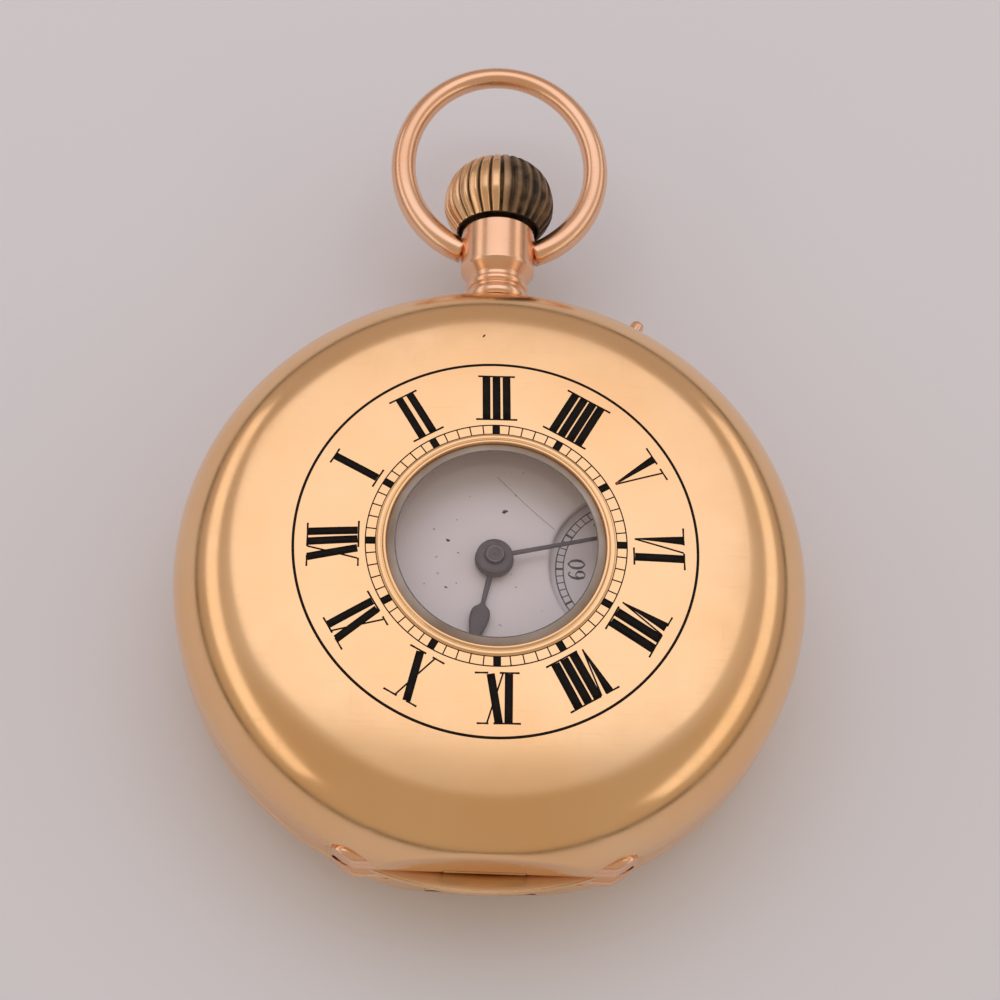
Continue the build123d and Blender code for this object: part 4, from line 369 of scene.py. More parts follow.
# Old blued steel gone grey and purplish, dusty under the glass
hand_steel = clouded("grey_blued_steel", (0.185, 0.145, 0.150), (0.120, 0.090, 0.098), (900.0, 4.0),
                     (0.3, 0.7), (0.45, 0.15), (6000.0, 2.0, 3e-6, 0.5), Metallic=0.35)
enamel = enamel_finish()
black_inlay = inlay_finish("black_inlay", (0.006, 0.005, 0.005), (0.022, 0.014, 0.010))
dial_print = inlay_finish("dial_print", (0.045, 0.042, 0.045), (0.10, 0.09, 0.09))
seconds_print = inlay_finish("seconds_print", (0.105, 0.095, 0.10), (0.18, 0.17, 0.17))
hairline = inlay_finish("hairline", (0.20, 0.19, 0.19), (0.30, 0.28, 0.28))
speck = inlay_finish("speck", (0.055, 0.045, 0.04), (0.11, 0.09, 0.08))
copper_loss = inlay_finish("copper_loss", (0.34, 0.09, 0.045), (0.22, 0.07, 0.04))
window_clear = clear_glass("window_glass_clear", (0.996, 0.996, 1.0), 0.004, 0.02)
# Ground bevel of the window: brown-grey as a painted reflection of the gold rim, paler in patches
window_bevel = clouded("window_bevel", (0.30, 0.235, 0.19), (0.50, 0.44, 0.41), (240.0, 3.0), (0.35, 0.65),
                       (0.12, 0.1), (700.0, 2.0, 6e-6, 0.4), Coat_Weight=0.5)
crystal_clear = clear_glass("crystal_clear", (0.996, 0.996, 1.0), 0.003, 0.02)
ruby = Finish("ruby")
ruby.set(Base_Color=ruby.mix(ruby.noise(900.0), (0.42, 0.02, 0.05), (0.30, 0.01, 0.03)),
         Roughness=ruby.noise(2000.0) * 0.1 + 0.06, Coat_Weight=0.6)


def crown_finish():
    """Worn gold crown: black dirt in the grooves, and black painted shade over one half of the crown and in
    its recess, both held by the groove attribute; browner on top.
    """
    finish = Finish("crown_gold")
    groove = Value(finish.node("ShaderNodeAttribute", {"attribute_name": "groove"}).outputs["Fac"])
    clouds = finish.ramp(finish.noise(500.0, 3.0), 0.3, 0.7)
    patchy = finish.ramp(finish.noise(900.0, 3.0), 0.2, 0.6)
    metal_tone = finish.mix(clouds, (0.93, 0.60, 0.34), (0.78, 0.48, 0.25))
    # dirt in the grooves, and painted shade on one half of the crown and in its recess, mixed towards black
    dirt_and_shade = (finish.ramp(groove, 0.3, 0.85) * (patchy * 0.3 + 0.7)).clamp()
    finish.set(Base_Color=finish.mix(dirt_and_shade, metal_tone, (0.030, 0.019, 0.009)), Metallic=1.0 - dirt_and_shade * 0.6,
               Roughness=dirt_and_shade * 0.3 + clouds * 0.08 + 0.2)
    finish.bump(finish.noise(3500.0, 2.0), 4e-6, 0.5)
    return finish.material


crown_gold = crown_finish()

# Covers
HINGE_Y, HINGE_RISE, TUBE = 15.586, 0.85, 0.55      # hinge axes in -Y, off the mid plane, knuckle radius
HINGE_FACE = HINGE_Y + TUBE
HINGE_END = 7.85                        # outer end of the knuckles, along X
HINGE_SIDE, NECK_SIDE = -14.9, 12.0     # past these places along Y lie the hinge and the neck
EAR = ((6.6, 7.9), (16.12, 15.12))      # bevelled outer end of the hinge: places along X, reach in -Y
NOTCH = 1.95                            # radius of the room round the pendant's foot
ARM_REACH, ARM_HEIGHT = 4.45, 2.15      # case middle's hinge arms: degrees off the hinge, height


def cover_columns():
    """Angles round a cover, closer together beside the hinge's flat, its knuckles and the neck."""
    hinge = -90 + np.concatenate([
        np.linspace(-27, -7.6, 60), np.linspace(-7.5, -7.0, 8), np.linspace(-6.9, 6.9, 34),
        np.linspace(7.0, 7.5, 8), np.linspace(7.6, 27, 60)])
    neck = 90 + np.linspace(-8.5, 8.5, 70)
    left = np.linspace(-62, 80.5, 120)
    right = np.linspace(99.5, 242, 120)
    return np.radians(np.unique(np.round(np.concatenate([hinge, left, neck, right]), 4)))


def cover_grid(side, centre_radius):
    """Closed shell of a cover as one turned profile, side 1 for the front and -1 for the back.
    Points past the hinge's flat are drawn back to it, with a soft edge, which gives the straight
    side; points inside the neck's notch, the middle knuckle or the arms beside it are lifted off
    them along the axis."""
    def shoulder(radius, a):
        return np.stack([CASE - SHOULDER_RADIUS + radius * np.cos(a), EDGE + radius * np.sin(a)], -1)

    steepest = np.degrees(np.arcsin(SHOULDER_HEIGHT / SHOULDER_RADIUS))
    outer_shoulder = shoulder(SHOULDER_RADIUS, arc(0, steepest, 34))
    flat_r = np.linspace(SHOULDER_IN, centre_radius, 26)[1:]
    outer_crown = np.stack([flat_r, cover_top(flat_r)], -1)
    inner_shoulder = shoulder(SHOULDER_RADIUS - WALL, arc(0, 80, 20))[::-1]
    inner_rest = np.linspace(centre_radius, inner_shoulder[0, 0], 6)[:-1]
    inner_crown = np.stack([inner_rest, cover_top(inner_rest) - WALL], -1)
    low = 0.03
    lip = softened([(CASE - WALL, EDGE, 0), (CASE - WALL, low, 0.05), (CASE, low, 0.07), (CASE, EDGE, 0)], 5)
    outside = np.concatenate([lip, outer_shoulder[1:], outer_crown])
    turn = len(outside)
    if centre_radius > 0:
        rim = softened([(*outer_crown[-1], 0), (centre_radius - 0.001, COVER - 0.06, 0.0),
                        (*inner_crown[0], 0)], 3)[1:-1]
        outside = np.concatenate([outside, rim])
    profile = np.concatenate([outside, inner_crown, inner_shoulder[:-1]])
    angles = cover_columns()
    points = turned(profile, angles)
    x, y, h = np.moveaxis(points, -1, 0)
    # flat hinge side: the outer skin stops at the hinge's face, the inner skin further in
    half_lip = 8
    limit = np.full(len(profile), -HINGE_FACE)
    limit[:half_lip] = -(HINGE_Y - TUBE)
    limit[turn:] = np.where(profile[turn:, 1] > 1.45, -(HINGE_FACE - 0.35), -(HINGE_Y - TUBE))
    limit = limit[:, None] + 0 * x
    soft = np.where(h > 0.5, 0.16, 0.05)
    gap = y - limit
    y = limit + 0.5 * (gap + np.sqrt(gap**2 + soft**2)) - 0.25 * soft * np.exp(-np.abs(gap) / soft)
    y = np.where(points[..., 1] > limit + 1.2, points[..., 1], y)
    # neck's notch round the pendant's foot
    across = np.sqrt(np.clip(NOTCH**2 - x**2, 0, None)) - SEAM
    inside = (y > NECK_SIDE) & (np.abs(x) < NOTCH)
    near_edge = inside & (h < across)
    h = np.where(near_edge, across, h)
    # room over the middle knuckle
    column = np.abs(np.degrees(angles) + 90)[None, :] + 0 * x
    half_gap = 7.28 if side > 0 else ARM_REACH
    room = 0.6
    over_tube = np.sqrt(np.clip(room**2 - (y + HINGE_Y) ** 2, 0, None)) + HINGE_RISE - SEAM
    under = (column < half_gap) & (y < HINGE_SIDE) & (h < over_tube)
    h = np.where(under, over_tube, h)
    if side < 0:
        arms = (column >= ARM_REACH) & (column < 10.0) & (y < HINGE_SIDE) & (h < ARM_HEIGHT)
        h = np.where(arms, ARM_HEIGHT, h)
    z = MID + side * (SEAM + h)
    return np.stack([x, y, z], -1)


def ear_limit(x, y):
    """Points beyond the bevel line of the hinge's outer end are drawn back to it, with a soft edge."""
    limit = -np.interp(np.abs(x), EAR[0], EAR[1])
    gap = y - limit
    return limit + 0.5 * (gap + np.sqrt(gap**2 + 0.12**2)) - 0.03


def hinge_tube(x, radius, y_axis, z_axis):
    """Tube along X whose outer end follows the bevel line, closed on its axis at both ends."""
    a = circle(48)
    radius[[0, -1]] = 0.0
    y = y_axis + radius[:, None] * np.cos(a)[None, :]
    z = z_axis + radius[:, None] * np.sin(a)[None, :]
    grid_x = x[:, None] + 0 * y
    return (np.stack([grid_x, ear_limit(grid_x, y), z], -1), False, True)


def knuckle_grid(low, high, axis_z):
    """Knuckle: a tube with softened ends."""
    x = np.concatenate([[low], np.linspace(low, high, 90), [high]])
    radius = np.full(len(x), TUBE)
    radius[[1, -2]] = TUBE - 0.03
    return hinge_tube(x, radius, -HINGE_Y, axis_z)


def root_grid(low, high, axis_z, side):
    """Swelling between a knuckle and its cover's shoulder: a second tube, a little inside and over
    the first, whose outer end is rounded off."""
    x = np.concatenate([[low], np.linspace(low, high, 70), [high]])
    round_end, radius, y_axis, over = 0.9, 0.64, -15.36, 0.30
    past = np.clip((np.abs(x) - (HINGE_END - round_end)) / round_end, 0, 1)
    return hinge_tube(x, radius * np.sqrt(1 - past**2), y_axis, axis_z + side * over)


for cover, side, hole in (("front_cover", 1, HOLE), ("back_cover", -1, 0.0)):
    make_piece(cover + "_shell", [(cover_grid(side, hole), True, True)], cover, yellow_gold, [cover])
for sign, hand in ((-1, "left"), (1, "right")):
    for cover, side, inner_end in (("front", 1, 2.15), ("back", -1, 2.95)):
        ends = sorted((sign * inner_end, sign * HINGE_END))
        axis = MID + side * HINGE_RISE
        grids = [knuckle_grid(*ends, axis), root_grid(*ends, axis, side)]
        make_piece(f"{cover}_knuckle_{hand}", grids, cover + "_cover", rose_gold)


def case_skin(name, inner, half, flat, soft, steps, angles, material):
    """Skin a hair over the case middle: a closed profile from the inner radius out, half as high as
    half says and upright over flat, carried through the angles, each end closed on its middle."""
    upper = [(inner, half, 0), (CASE - 0.06, half, 0.1), (CASE + SKIN, flat, soft)]
    lower = [(radius, -height, corner) for radius, height, corner in upper[::-1]]
    profile = softened([(radius, MID + height, corner) for radius, height, corner in upper + lower], steps)
    points = turned(profile, angles)
    middle = points.mean(0, keepdims=True).repeat(len(profile), 0)
    grid = np.concatenate([middle[:, :1], points, middle[:, -1:]], 1)
    make_piece(name, [(grid, True, False)], "case", material)


# The polished band, left out beside the hinges, and the web between the hinges' knuckles
case_skin("case_band", CASE - 0.5, SEAM + 0.004, SEAM - 0.12, 0.1, 6, arc(-90 + 28.4, 270 - 28.4, 420),
          band_gold)
case_skin("hinge_web", CASE - 1.9, 0.256, 0.15, 0.08, 5, arc(-90 - 27.4, -90 + 27.4, 160), hinge_gold)

# Window
closed_turn("window_rim", [
    (5.715, 5.55, 0), (5.715, 6.02, 0.02), (5.75, 6.13, 0.035), (5.86, 6.145, 0.04), (5.955, 6.05, 0.03),
    (6.03, 6.075, 0.04), (6.14, 6.085, 0.05), (6.26, 6.03, 0.04), (6.275, 5.985, 0.02), (HOLE, 5.985, 0.01),
    (5.94, 5.55, 0.02), (5.715, 5.55, 0)], 256, "front_cover", yellow_gold, ["window_ring"])
pane = closed_turn("window_pane", [
    (0, 5.50, 0), (5.66, 5.50, 0.03), (5.69, 5.78, 0.03), (5.40, 6.05, 0.06), (0, 6.05, 0)],
    192, "front_cover", window_clear, ["window_glass"])
closed_turn("window_pane_bevel", [
    (5.712, 5.80, 0), (5.33, 6.055, 0.02), (5.30, 6.062, 0.01), (5.33, 6.07, 0.02), (5.714, 5.90, 0.02),
    (5.712, 5.80, 0)], 192, "front_cover", window_bevel)
# a thin dark ring at the bevel's inner edge: painted shade along the edge of the glass
closed_turn("window_pane_edge", [
    (5.30, 6.055, 0), (5.235, 6.055, 0), (5.235, 6.066, 0), (5.30, 6.066, 0), (5.30, 6.055, 0)],
    192, "front_cover", hairline)


# Crystal: a shallow dome whose height falls with the square of the distance from the middle
CRYSTAL, BULGE = 13.4, 0.5
dome_radii = np.linspace(0, CRYSTAL, 18)
dome_rise = BULGE * (1 - (dome_radii / CRYSTAL) ** 2)
under = np.stack([dome_radii, MID + 4.4 + dome_rise], -1)
over = np.stack([dome_radii, MID + 4.85 + dome_rise], -1)[::-1]
crystal = make_piece("crystal_dome", [(turned(np.concatenate([under, over]), 160), False, True)], "case",
                     crystal_clear, ["crystal"])
# Both glasses throw no shadow and meet no diffuse light: behind four clear faces the dial would come out too
# dark
for glass in (pane, crystal):
    glass.visible_shadow = False
    glass.visible_diffuse = False
closed_turn("bezel_ring", [
    (14.0, 2.53, 0), (15.686, 2.53, 0.08), (15.686, 3.13, 0.2), (13.8, 4.85, 0.12), (13.42, 4.85, 0.04),
    (13.42, 4.38, 0.02), (12.95, 4.38, 0.08), (12.95, 3.83, 0.05), (14.0, 3.83, 0.03), (14.0, 2.53, 0)],
    220, "case", inside_gold, ["glass_bezel"])

# Pendant, crown, bow: places along +Y where the pendant's large bead, small bead, cone and collar start
BEAD, SMALL, CONE, COLLAR = 17.336, 18.336, 19.036, 19.686
COLLAR_END = COLLAR + 2.7
NECK, COLLAR_RADIUS, BORE = 1.6, 2.13, 1.28


def bead(start, end, high):
    """Half round bead on the neck between two places: its radius follows a half ellipse."""
    t = np.linspace(0, np.pi, 12)
    return np.stack([NECK + (high - NECK) * np.sin(t), start + (end - start) * (1 - np.cos(t)) / 2], -1)


neck = np.concatenate([
    softened([(1.0, 16.6, 0), (1.80, 16.6, 0.02), (1.80, 16.95, 0.15), (NECK, BEAD - 0.05, 0.12),
              (NECK, BEAD, 0)], 6),
    bead(BEAD + 0.02, BEAD + 0.8, 1.88),
    bead(SMALL, SMALL + 0.5, 1.77),
    softened([(NECK + 0.01, SMALL + 0.52, 0), (NECK + 0.01, CONE, 0.12), (2.12, COLLAR - 0.06, 0.16),
              (COLLAR_RADIUS, COLLAR + 0.1, 0.05), (COLLAR_RADIUS, COLLAR_END - 0.12, 0.12),
              (1.98, COLLAR_END, 0.08), (BORE, COLLAR_END, 0.03), (BORE, COLLAR_END - 0.4, 0)], 6)])
make_piece("pendant_neck", [(turned(neck, 128, stem=True), False, True)], "case", rose_gold,
           ["pendant"])

CROWN_START = COLLAR_END + 0.05


def crown_surface():
    """Crown: a barrel profile round the stem's axis, whose radius falls in narrow grooves that fade
    out on the top; the underside steps in to a recess for the collar. The groove value is the
    depth of the groove, for the dirt in it, raised to painted shade over the half of the crown
    towards +X and set full in the recess, painted shade between crown and collar."""
    ribs = 28
    sides = ribs * 16
    a = circle(sides)
    y = [0.0, 0.03, 0.1, 0.25, 0.5, 0.85, 1.35, 1.9, 2.4, 2.9, 3.35, 3.7, 3.95, 4.12, 4.25, 4.34]
    r = [2.42, 2.45, 2.49, 2.58, 2.78, 3.01, 3.19, 3.21, 3.16, 3.03, 2.82, 2.55, 2.27, 2.0, 1.75, 1.5]
    fine_y = np.concatenate([np.linspace(0, 0.25, 5)[:-1], np.linspace(0.25, 4.0, 34)[:-1],
                             np.linspace(4.0, 4.34, 9)])
    fine_r = np.interp(fine_y, y, r)
    smooth = np.convolve(np.pad(fine_r, 2, mode="edge"), np.array([1, 4, 6, 4, 1]) / 16, "valid")
    wave = 0.5 + 0.5 * np.cos(ribs * a)
    groove = wave ** 5
    fade = np.interp(fine_y, [0.0, 0.12, 3.9, 4.26, 4.34], [0.5, 1.0, 1.0, 0.35, 0.0])
    radius = smooth[:, None] - 0.2 * groove[None, :] * fade[:, None]
    along = CROWN_START + fine_y[:, None] + 0 * a
    shell = np.stack([radius * np.cos(a), along, MID + radius * np.sin(a)], -1)
    top = softened([(1.5, 4.34, 0), (1.42, 4.39, 0.06), (0.9, 4.47, 0.2), (0.0, 4.5, 0)], 6)
    recess = softened([(0.75, 0.85, 0), (2.31, 0.85, 0.05), (2.31, 0.0, 0.03), (2.42, 0.0, 0)], 5)
    for profile in (top, recess):
        profile[:, 1] += CROWN_START
    # painted shade: the half of the crown towards +X is made dark, from its top ridge round to its underside
    shaded_half = 1.0 / (1 + np.exp(-(np.cos(a) - 0.03) / 0.05))
    dirt_and_shade = np.clip(groove[None, :] * fade[:, None] + shaded_half[None, :] * (0.74 + 0.26 * wave[None, :]), 0, 1)
    # the recess under the crown gets the full value: painted shade between crown and collar
    return [(turned(recess, sides, stem=True), False, True, np.ones((len(recess), sides))),
            (shell, False, True, dirt_and_shade),
            (turned(top, sides, stem=True), False, True, np.full((len(top), sides), 0.4))]


make_piece("crown_ribbed", crown_surface(), "crown", crown_gold, ["crown"], "groove")


def bow_surface():
    """Bow: one wire along an ellipse round the crown, a little taller above its widest point than
    below, that ends at the two sides of the collar. The wire thins towards the top."""
    pivot, rise, wide, below, above, end = COLLAR + 1.35, 5.85, 5.72, 6.28, 6.5, 2.06
    thin_end = 12.3
    start = -np.degrees(np.arccos(end / wide))
    t = arc(start, 180 - start, 210)
    tall = np.where(np.sin(t) > 0, above, below)
    path = np.stack([wide * np.cos(t), pivot + rise + tall * np.sin(t), np.full(len(t), MID)], -1)
    high = np.clip((path[:, 1] - pivot) / thin_end, 0, 1)
    wire = 0.76 - 0.15 * high**1.6 - 0.06 * np.exp(-high / 0.06)
    return tube(path, wire, 40)


make_piece("bow_wire", [(bow_surface(), False, True)], "bow", rose_gold, ["bow"])

# Push pin beside the pendant, with its guard: distances from the middle, then the radius at each
push = np.radians(63.8)


def push_tube(places, radii, sides):
    """Round tube along the push pin's axis."""
    path = np.array([np.cos(push), np.sin(push), 0.0])[None] * np.array(places)[:, None] + [0, 0, MID]
    return [(tube(path, radii, sides), False, True)]


pin = push_tube([13.3, 15.0, 17.3, 18.45, 18.62, 18.70, 18.73], [0.38, 0.38, 0.38, 0.38, 0.33, 0.2, 0.05], 32)
make_piece("push_pin_round", pin, "push_pin", rose_gold, ["push_pin"])
guard = push_tube([15.72, 16.7, 17.55, 17.78, 17.842, 17.85], [0.87, 0.78, 0.68, 0.62, 0.56, 0.42], 40)
make_piece("push_guard", guard, "case", rose_gold)


# Printed and inlaid lines
def inlay(strokes, height, lift=0.010):
    """Inlaid lines: each stroke is a centreline (n by 2) with half widths (n), or two points and two
    half widths. It becomes a flat bar, closed at both ends, that follows the surface whose height is
    given as a function of the distance from the hand axis, and stands over it by lift."""
    sink = 0.02
    grids = []
    for line, half in strokes:
        line, half = np.asarray(line, float), np.asarray(half, float)
        if len(line) == 2:
            s = np.linspace(0, 1, 6)[:, None]
            half = half[0] + (half[1] - half[0]) * s[:, 0]
            line = line[0] + (line[1] - line[0]) * s
        ahead = np.gradient(line, axis=0)
        ahead /= np.linalg.norm(ahead, axis=1)[:, None]
        normal = np.stack([-ahead[:, 1], ahead[:, 0]], -1)
        left, right = line + normal * half[:, None], line - normal * half[:, None]
        ring = []
        for edge, rise in ((left, -sink), (left, lift), (right, lift), (right, -sink)):
            ring.append(np.concatenate([edge, (height(np.hypot(edge[:, 0], edge[:, 1])) + rise)[:, None]], 1))
        block = np.stack(ring, 1)
        ends = block.mean(1, keepdims=True).repeat(4, 1)
        grids.append((np.concatenate([ends[:1], block, ends[-1:]]), False, True))
    return grids


def ring_line(radius, width, height, centre=(0.0, 0.0), count=240, lift=0.010):
    """Circle of a given line width laid on the surface."""
    a = arc(0.0, 360.0, count)
    line = np.stack([centre[0] + radius * np.cos(a), centre[1] + radius * np.sin(a)], -1)
    return inlay([(line, np.full(count, width / 2))], height, lift)


HOURS = ["XII", "I", "II", "III", "IIII", "V", "VI", "VII", "VIII", "IX", "X", "XI"]
THICK, HAIR, NUMERAL_HEIGHT = 0.21, 0.044, 2.58
TICK, BLOCK, LINE, RING = 0.0048, 0.0295, 0.0092, 0.021     # widths, as parts of the track's radius
# Each numeral on the cover, in millimetres across its middle line, clockwise counted up: strokes as
# (place at the top, at the foot, half width, and that at the foot where it differs), then the serif
# lines along the top and along the foot as (start, end)
NUMERALS = {
    "I": ([(-0.03, -0.03, THICK)], [(-0.50, 0.44)], [(-0.60, 0.54)]),
    "II": ([(-0.34, -0.37, THICK), (0.30, 0.28, THICK)], [(-0.92, 0.74)], [(-0.92, 0.90)]),
    "III": ([(-0.51, -0.51, THICK), (0.03, 0.03, THICK), (0.57, 0.57, THICK)], [(-0.95, 1.03)],
            [(-1.07, 1.13)]),
    "IIII": ([(-0.68, -0.68, 0.22), (-0.15, -0.15, 0.22), (0.37, 0.37, 0.22), (0.87, 0.87, 0.22)],
             [(-1.19, 1.43)], [(-1.25, 1.35)]),
    "V": ([(-0.20, 0.09, THICK, 0.05), (0.72, 0.12, HAIR)], [(-0.94, 0.14), (0.44, 1.17)], []),
    "VI": ([(-0.38, -0.40, 0.24, 0.02), (0.32, -0.38, HAIR), (0.67, 0.63, 0.22)],
           [(-1.09, -0.12), (0.35, 1.28)], [(0.11, 1.07)]),
    "VII": ([(-0.47, -0.48, 0.25, 0.02), (0.01, -0.48, HAIR), (0.27, 0.14, 0.25),
             (0.90, 0.77, 0.25)], [(-1.12, -0.55), (0.01, 1.42)], [(-0.17, 1.27)]),
    "VIII": ([(-0.93, -0.87, 0.23, 0.02), (-0.46, -0.87, HAIR), (-0.24, -0.32, 0.23), (0.31, 0.23, 0.23),
              (0.89, 0.76, 0.23)], [(-1.51, -0.73), (-0.43, 1.38)], [(-0.57, 1.26)]),
    "IX": ([(-0.57, -0.60, THICK), (-0.08, 0.33, THICK), (0.52, -0.29, HAIR)],
           [(-1.19, 0.19), (0.44, 1.03)], [(-1.14, -0.13), (0.45, 1.13)]),
    "X": ([(-0.39, 0.33, THICK), (0.27, -0.49, HAIR)], [(0.17, 0.95), (-0.98, -0.38)],
          [(0.01, 0.95), (-1.05, -0.36)]),
    "XI": ([(-0.62, -0.23, THICK), (-0.11, -0.89, HAIR), (0.26, 0.27, THICK)],
           [(-0.23, 0.72), (-1.27, -0.55)], [(-0.41, 0.87), (-1.27, -0.73)]),
    "XII": ([(-0.93, -0.44, THICK), (-0.34, -1.01, HAIR), (-0.07, 0.06, THICK),
             (0.48, 0.55, THICK)], [(-0.34, 0.97), (-1.45, -0.83)], [(-0.39, 1.08), (-1.45, -1.0)]),
}


def numeral(text, angle, low, high):
    """Strokes of a Roman numeral between two radii, tops outward, sized by the height between them
    against the height at which NUMERALS was measured."""
    size = (high - low) / NUMERAL_HEIGHT
    up = np.array([np.cos(angle), np.sin(angle)])
    across = np.array([np.sin(angle), -np.cos(angle)])
    uprights, along_top, along_foot = NUMERALS[text]
    strokes = []
    for top, foot, *halves in uprights:
        line = [up * low + across * foot * size, up * high + across * top * size]
        strokes.append((line, [halves[-1] * size, halves[0] * size]))
    for spans, radius in ((along_top, high + 0.01), (along_foot, low - 0.05)):
        for start, end in spans:
            side = np.linspace(start, end, 9) * size
            flare = 0.040 * size * (1 + 0.3 * np.abs(np.linspace(-1, 1, 9)))
            strokes.append((up[None] * radius + across[None] * side[:, None], flare))
    return strokes


def face_print(name, body, height, material, unit, track_in, low, high, ring=None):
    """Printed face: twelve numerals between the radii low and high, a ladder minute track between
    track_in and unit with blocks at the hours, and perhaps an outer ring."""
    strokes = []
    for hour, text in enumerate(HOURS):
        strokes += numeral(text, np.radians(180 - 30 * hour + FACE_TURN), low, high)
    make_piece(name + "_numerals", inlay(strokes, height), body, material)
    ticks = []
    for minute in range(60):
        angle = np.radians(6 * minute + FACE_TURN)
        way = np.array([np.cos(angle), np.sin(angle)])
        wide = TICK * unit if minute % 5 else BLOCK * unit
        ticks.append(([way * track_in, way * unit], [wide] * 2))
    grids = inlay(ticks, height, 0.008) + ring_line(unit, LINE * unit, height)
    grids += ring_line(track_in, LINE * unit, height)
    if ring:
        grids += ring_line(ring, RING * unit, height, count=360)
    make_piece(name + "_track", grids, body, material)


face_print("cover", "front_cover", face_height, black_inlay, TRACK, track_in=6.27, low=7.2, high=9.78,
           ring=10.53)

# Dial
DIAL_TOP, DIAL_UNDER, SUNK_TOP = 3.45, 2.86, 2.85       # heights over the stem's axis
DIAL_RADIUS = 13.986
SECONDS = np.array([7.35, 0.0])         # axis of the seconds hand
SECONDS_HOLE = 4.4


def dial_surface():
    """Dial: a disc with a round hole for the sunk seconds dial. Rows run from the hole's edge out
    to the rim along straight lines, closer together at both edges, which roll over softly. The disc
    covers the hole for the hands, whose bosses hide it."""
    a = circle(260)
    way = np.stack([np.cos(a), np.sin(a)], -1)
    hole = SECONDS[None] + SECONDS_HOLE * way
    along = way @ SECONDS
    reach = -along + np.sqrt(along**2 - SECONDS @ SECONDS + DIAL_RADIUS**2)
    outer = SECONDS[None] + way * reach[:, None]
    share = np.concatenate([[0, 0.004, 0.012, 0.03], np.linspace(0.06, 0.94, 18), [0.97, 0.985, 0.995, 1.0]])
    top = hole[None] * (1 - share)[:, None, None] + outer[None] * share[:, None, None]
    drop = np.interp(share, [0, 0.004, 0.012, 0.03, 0.97, 0.985, 0.995, 1.0],
                     [0.09, 0.035, 0.008, 0.0, 0.0, 0.008, 0.035, 0.1])
    z = MID + DIAL_TOP - drop[:, None] + 0 * a[None]
    face = np.concatenate([top, z[..., None]], -1)
    under = np.stack([outer, hole])
    return np.concatenate([face, np.concatenate([under, np.full((2, len(a), 1), MID + DIAL_UNDER)], -1)])


make_piece("dial_enamel", [(dial_surface(), True, True)], "case", enamel, ["dial"])
closed_turn("seconds_enamel", [
    (0.15, 2.5, 0), (4.55, 2.5, 0.03), (4.55, SUNK_TOP, 0.05), (0.2, SUNK_TOP, 0.04), (0.15, 2.5, 0)],
    128, "case", enamel, ["seconds_dial"], SECONDS)


def flat(height):
    """Surface for print that lies flat at a height over the stem's axis."""
    return lambda radius: np.full(np.shape(radius), MID + height)


dial_level, sunk_level = flat(DIAL_TOP), flat(SUNK_TOP)

# Points of each number, one high: across, then up from its foot
DIGITS = {
    "0": [(0.0, 1.0), (-0.32, 0.8), (-0.4, 0.5), (-0.32, 0.2), (0.0, 0.0), (0.32, 0.2), (0.4, 0.5),
          (0.32, 0.8), (0.0, 1.0)],
    "1": [(-0.18, 0.84), (0.03, 1.0), (0.03, 0.5), (0.03, 0.0)],
    "2": [(-0.34, 0.76), (-0.18, 0.97), (0.12, 0.98), (0.33, 0.76), (0.2, 0.45), (-0.36, 0.02), (0.0, 0.03),
          (0.38, 0.02)],
    "3": [(-0.33, 0.86), (-0.05, 1.0), (0.28, 0.86), (0.22, 0.6), (-0.05, 0.54), (0.28, 0.44), (0.34, 0.2),
          (0.05, 0.0), (-0.34, 0.12)],
    "4": [(0.36, 0.3), (-0.4, 0.3), (-0.1, 0.62), (0.16, 1.0), (0.16, 0.5), (0.16, 0.0)],
    "5": [(0.3, 0.97), (-0.22, 0.97), (-0.28, 0.55), (0.0, 0.62), (0.32, 0.48), (0.3, 0.14), (0.0, 0.0),
          (-0.32, 0.1)],
    "6": [(0.27, 0.88), (0.05, 1.0), (-0.26, 0.8), (-0.38, 0.42), (-0.22, 0.06), (0.05, 0.0), (0.33, 0.16),
          (0.33, 0.42), (0.05, 0.56), (-0.22, 0.5), (-0.35, 0.3)],
}


def digit_strokes(text, centre, up, size, thick, thin):
    """Numbers drawn with a broad pen: a smoothed line through the digit's points, wide where it
    runs up and down and thin where it runs across."""
    across = np.array([up[1], -up[0]])
    strokes = []
    for i, c in enumerate(text):
        keys = np.array(DIGITS[c], float)
        t = np.linspace(0, len(keys) - 1, 8 * len(keys))
        line = np.stack([np.interp(t, np.arange(len(keys)), keys[:, k]) for k in (0, 1)], -1)
        for _ in range(4):
            line[1:-1] = (line[:-2] + 2 * line[1:-1] + line[2:]) / 4
        ahead = np.gradient(line, axis=0)
        ahead /= np.linalg.norm(ahead, axis=1)[:, None] + 1e-9
        half = (thin + (thick - thin) * np.abs(ahead[:, 1]) ** 1.5) / 2
        side = (line[:, 0] * 0.62 + (i - (len(text) - 1) / 2) * 0.66) * size
        rise = (line[:, 1] - 0.5) * size
        strokes.append((centre[None] + across[None] * side[:, None] + up[None] * rise[:, None], half))
    return strokes


SECONDS_IN, SECONDS_OUT = 3.62, 4.02    # edges of the seconds track
seconds_strokes, seconds_digits = [], []
for mark in range(60):
    way = np.array([-np.cos(np.radians(6 * mark)), np.sin(np.radians(6 * mark))])
    outer, wide = (SECONDS_OUT, 0.028) if mark % 5 else (4.05, 0.06)
    seconds_strokes.append(([SECONDS + way * SECONDS_IN, SECONDS + way * outer], [wide] * 2))
    if mark % 10 == 0:
        text = str(mark or 60)
        seconds_digits += digit_strokes(text, SECONDS + way * 2.9, way, size=0.92, thick=0.15, thin=0.045)
grids = inlay(seconds_strokes + seconds_digits, sunk_level, 0.006)
for radius, width in ((SECONDS_OUT, 0.065), (SECONDS_IN, 0.06)):
    grids += ring_line(radius, width, sunk_level, SECONDS, 120, 0.006)
make_piece("seconds_print", grids, "case", seconds_print)
face_print("dial", "case", dial_level, dial_print, unit=13.35, track_in=12.75, low=9.15, high=12.1)

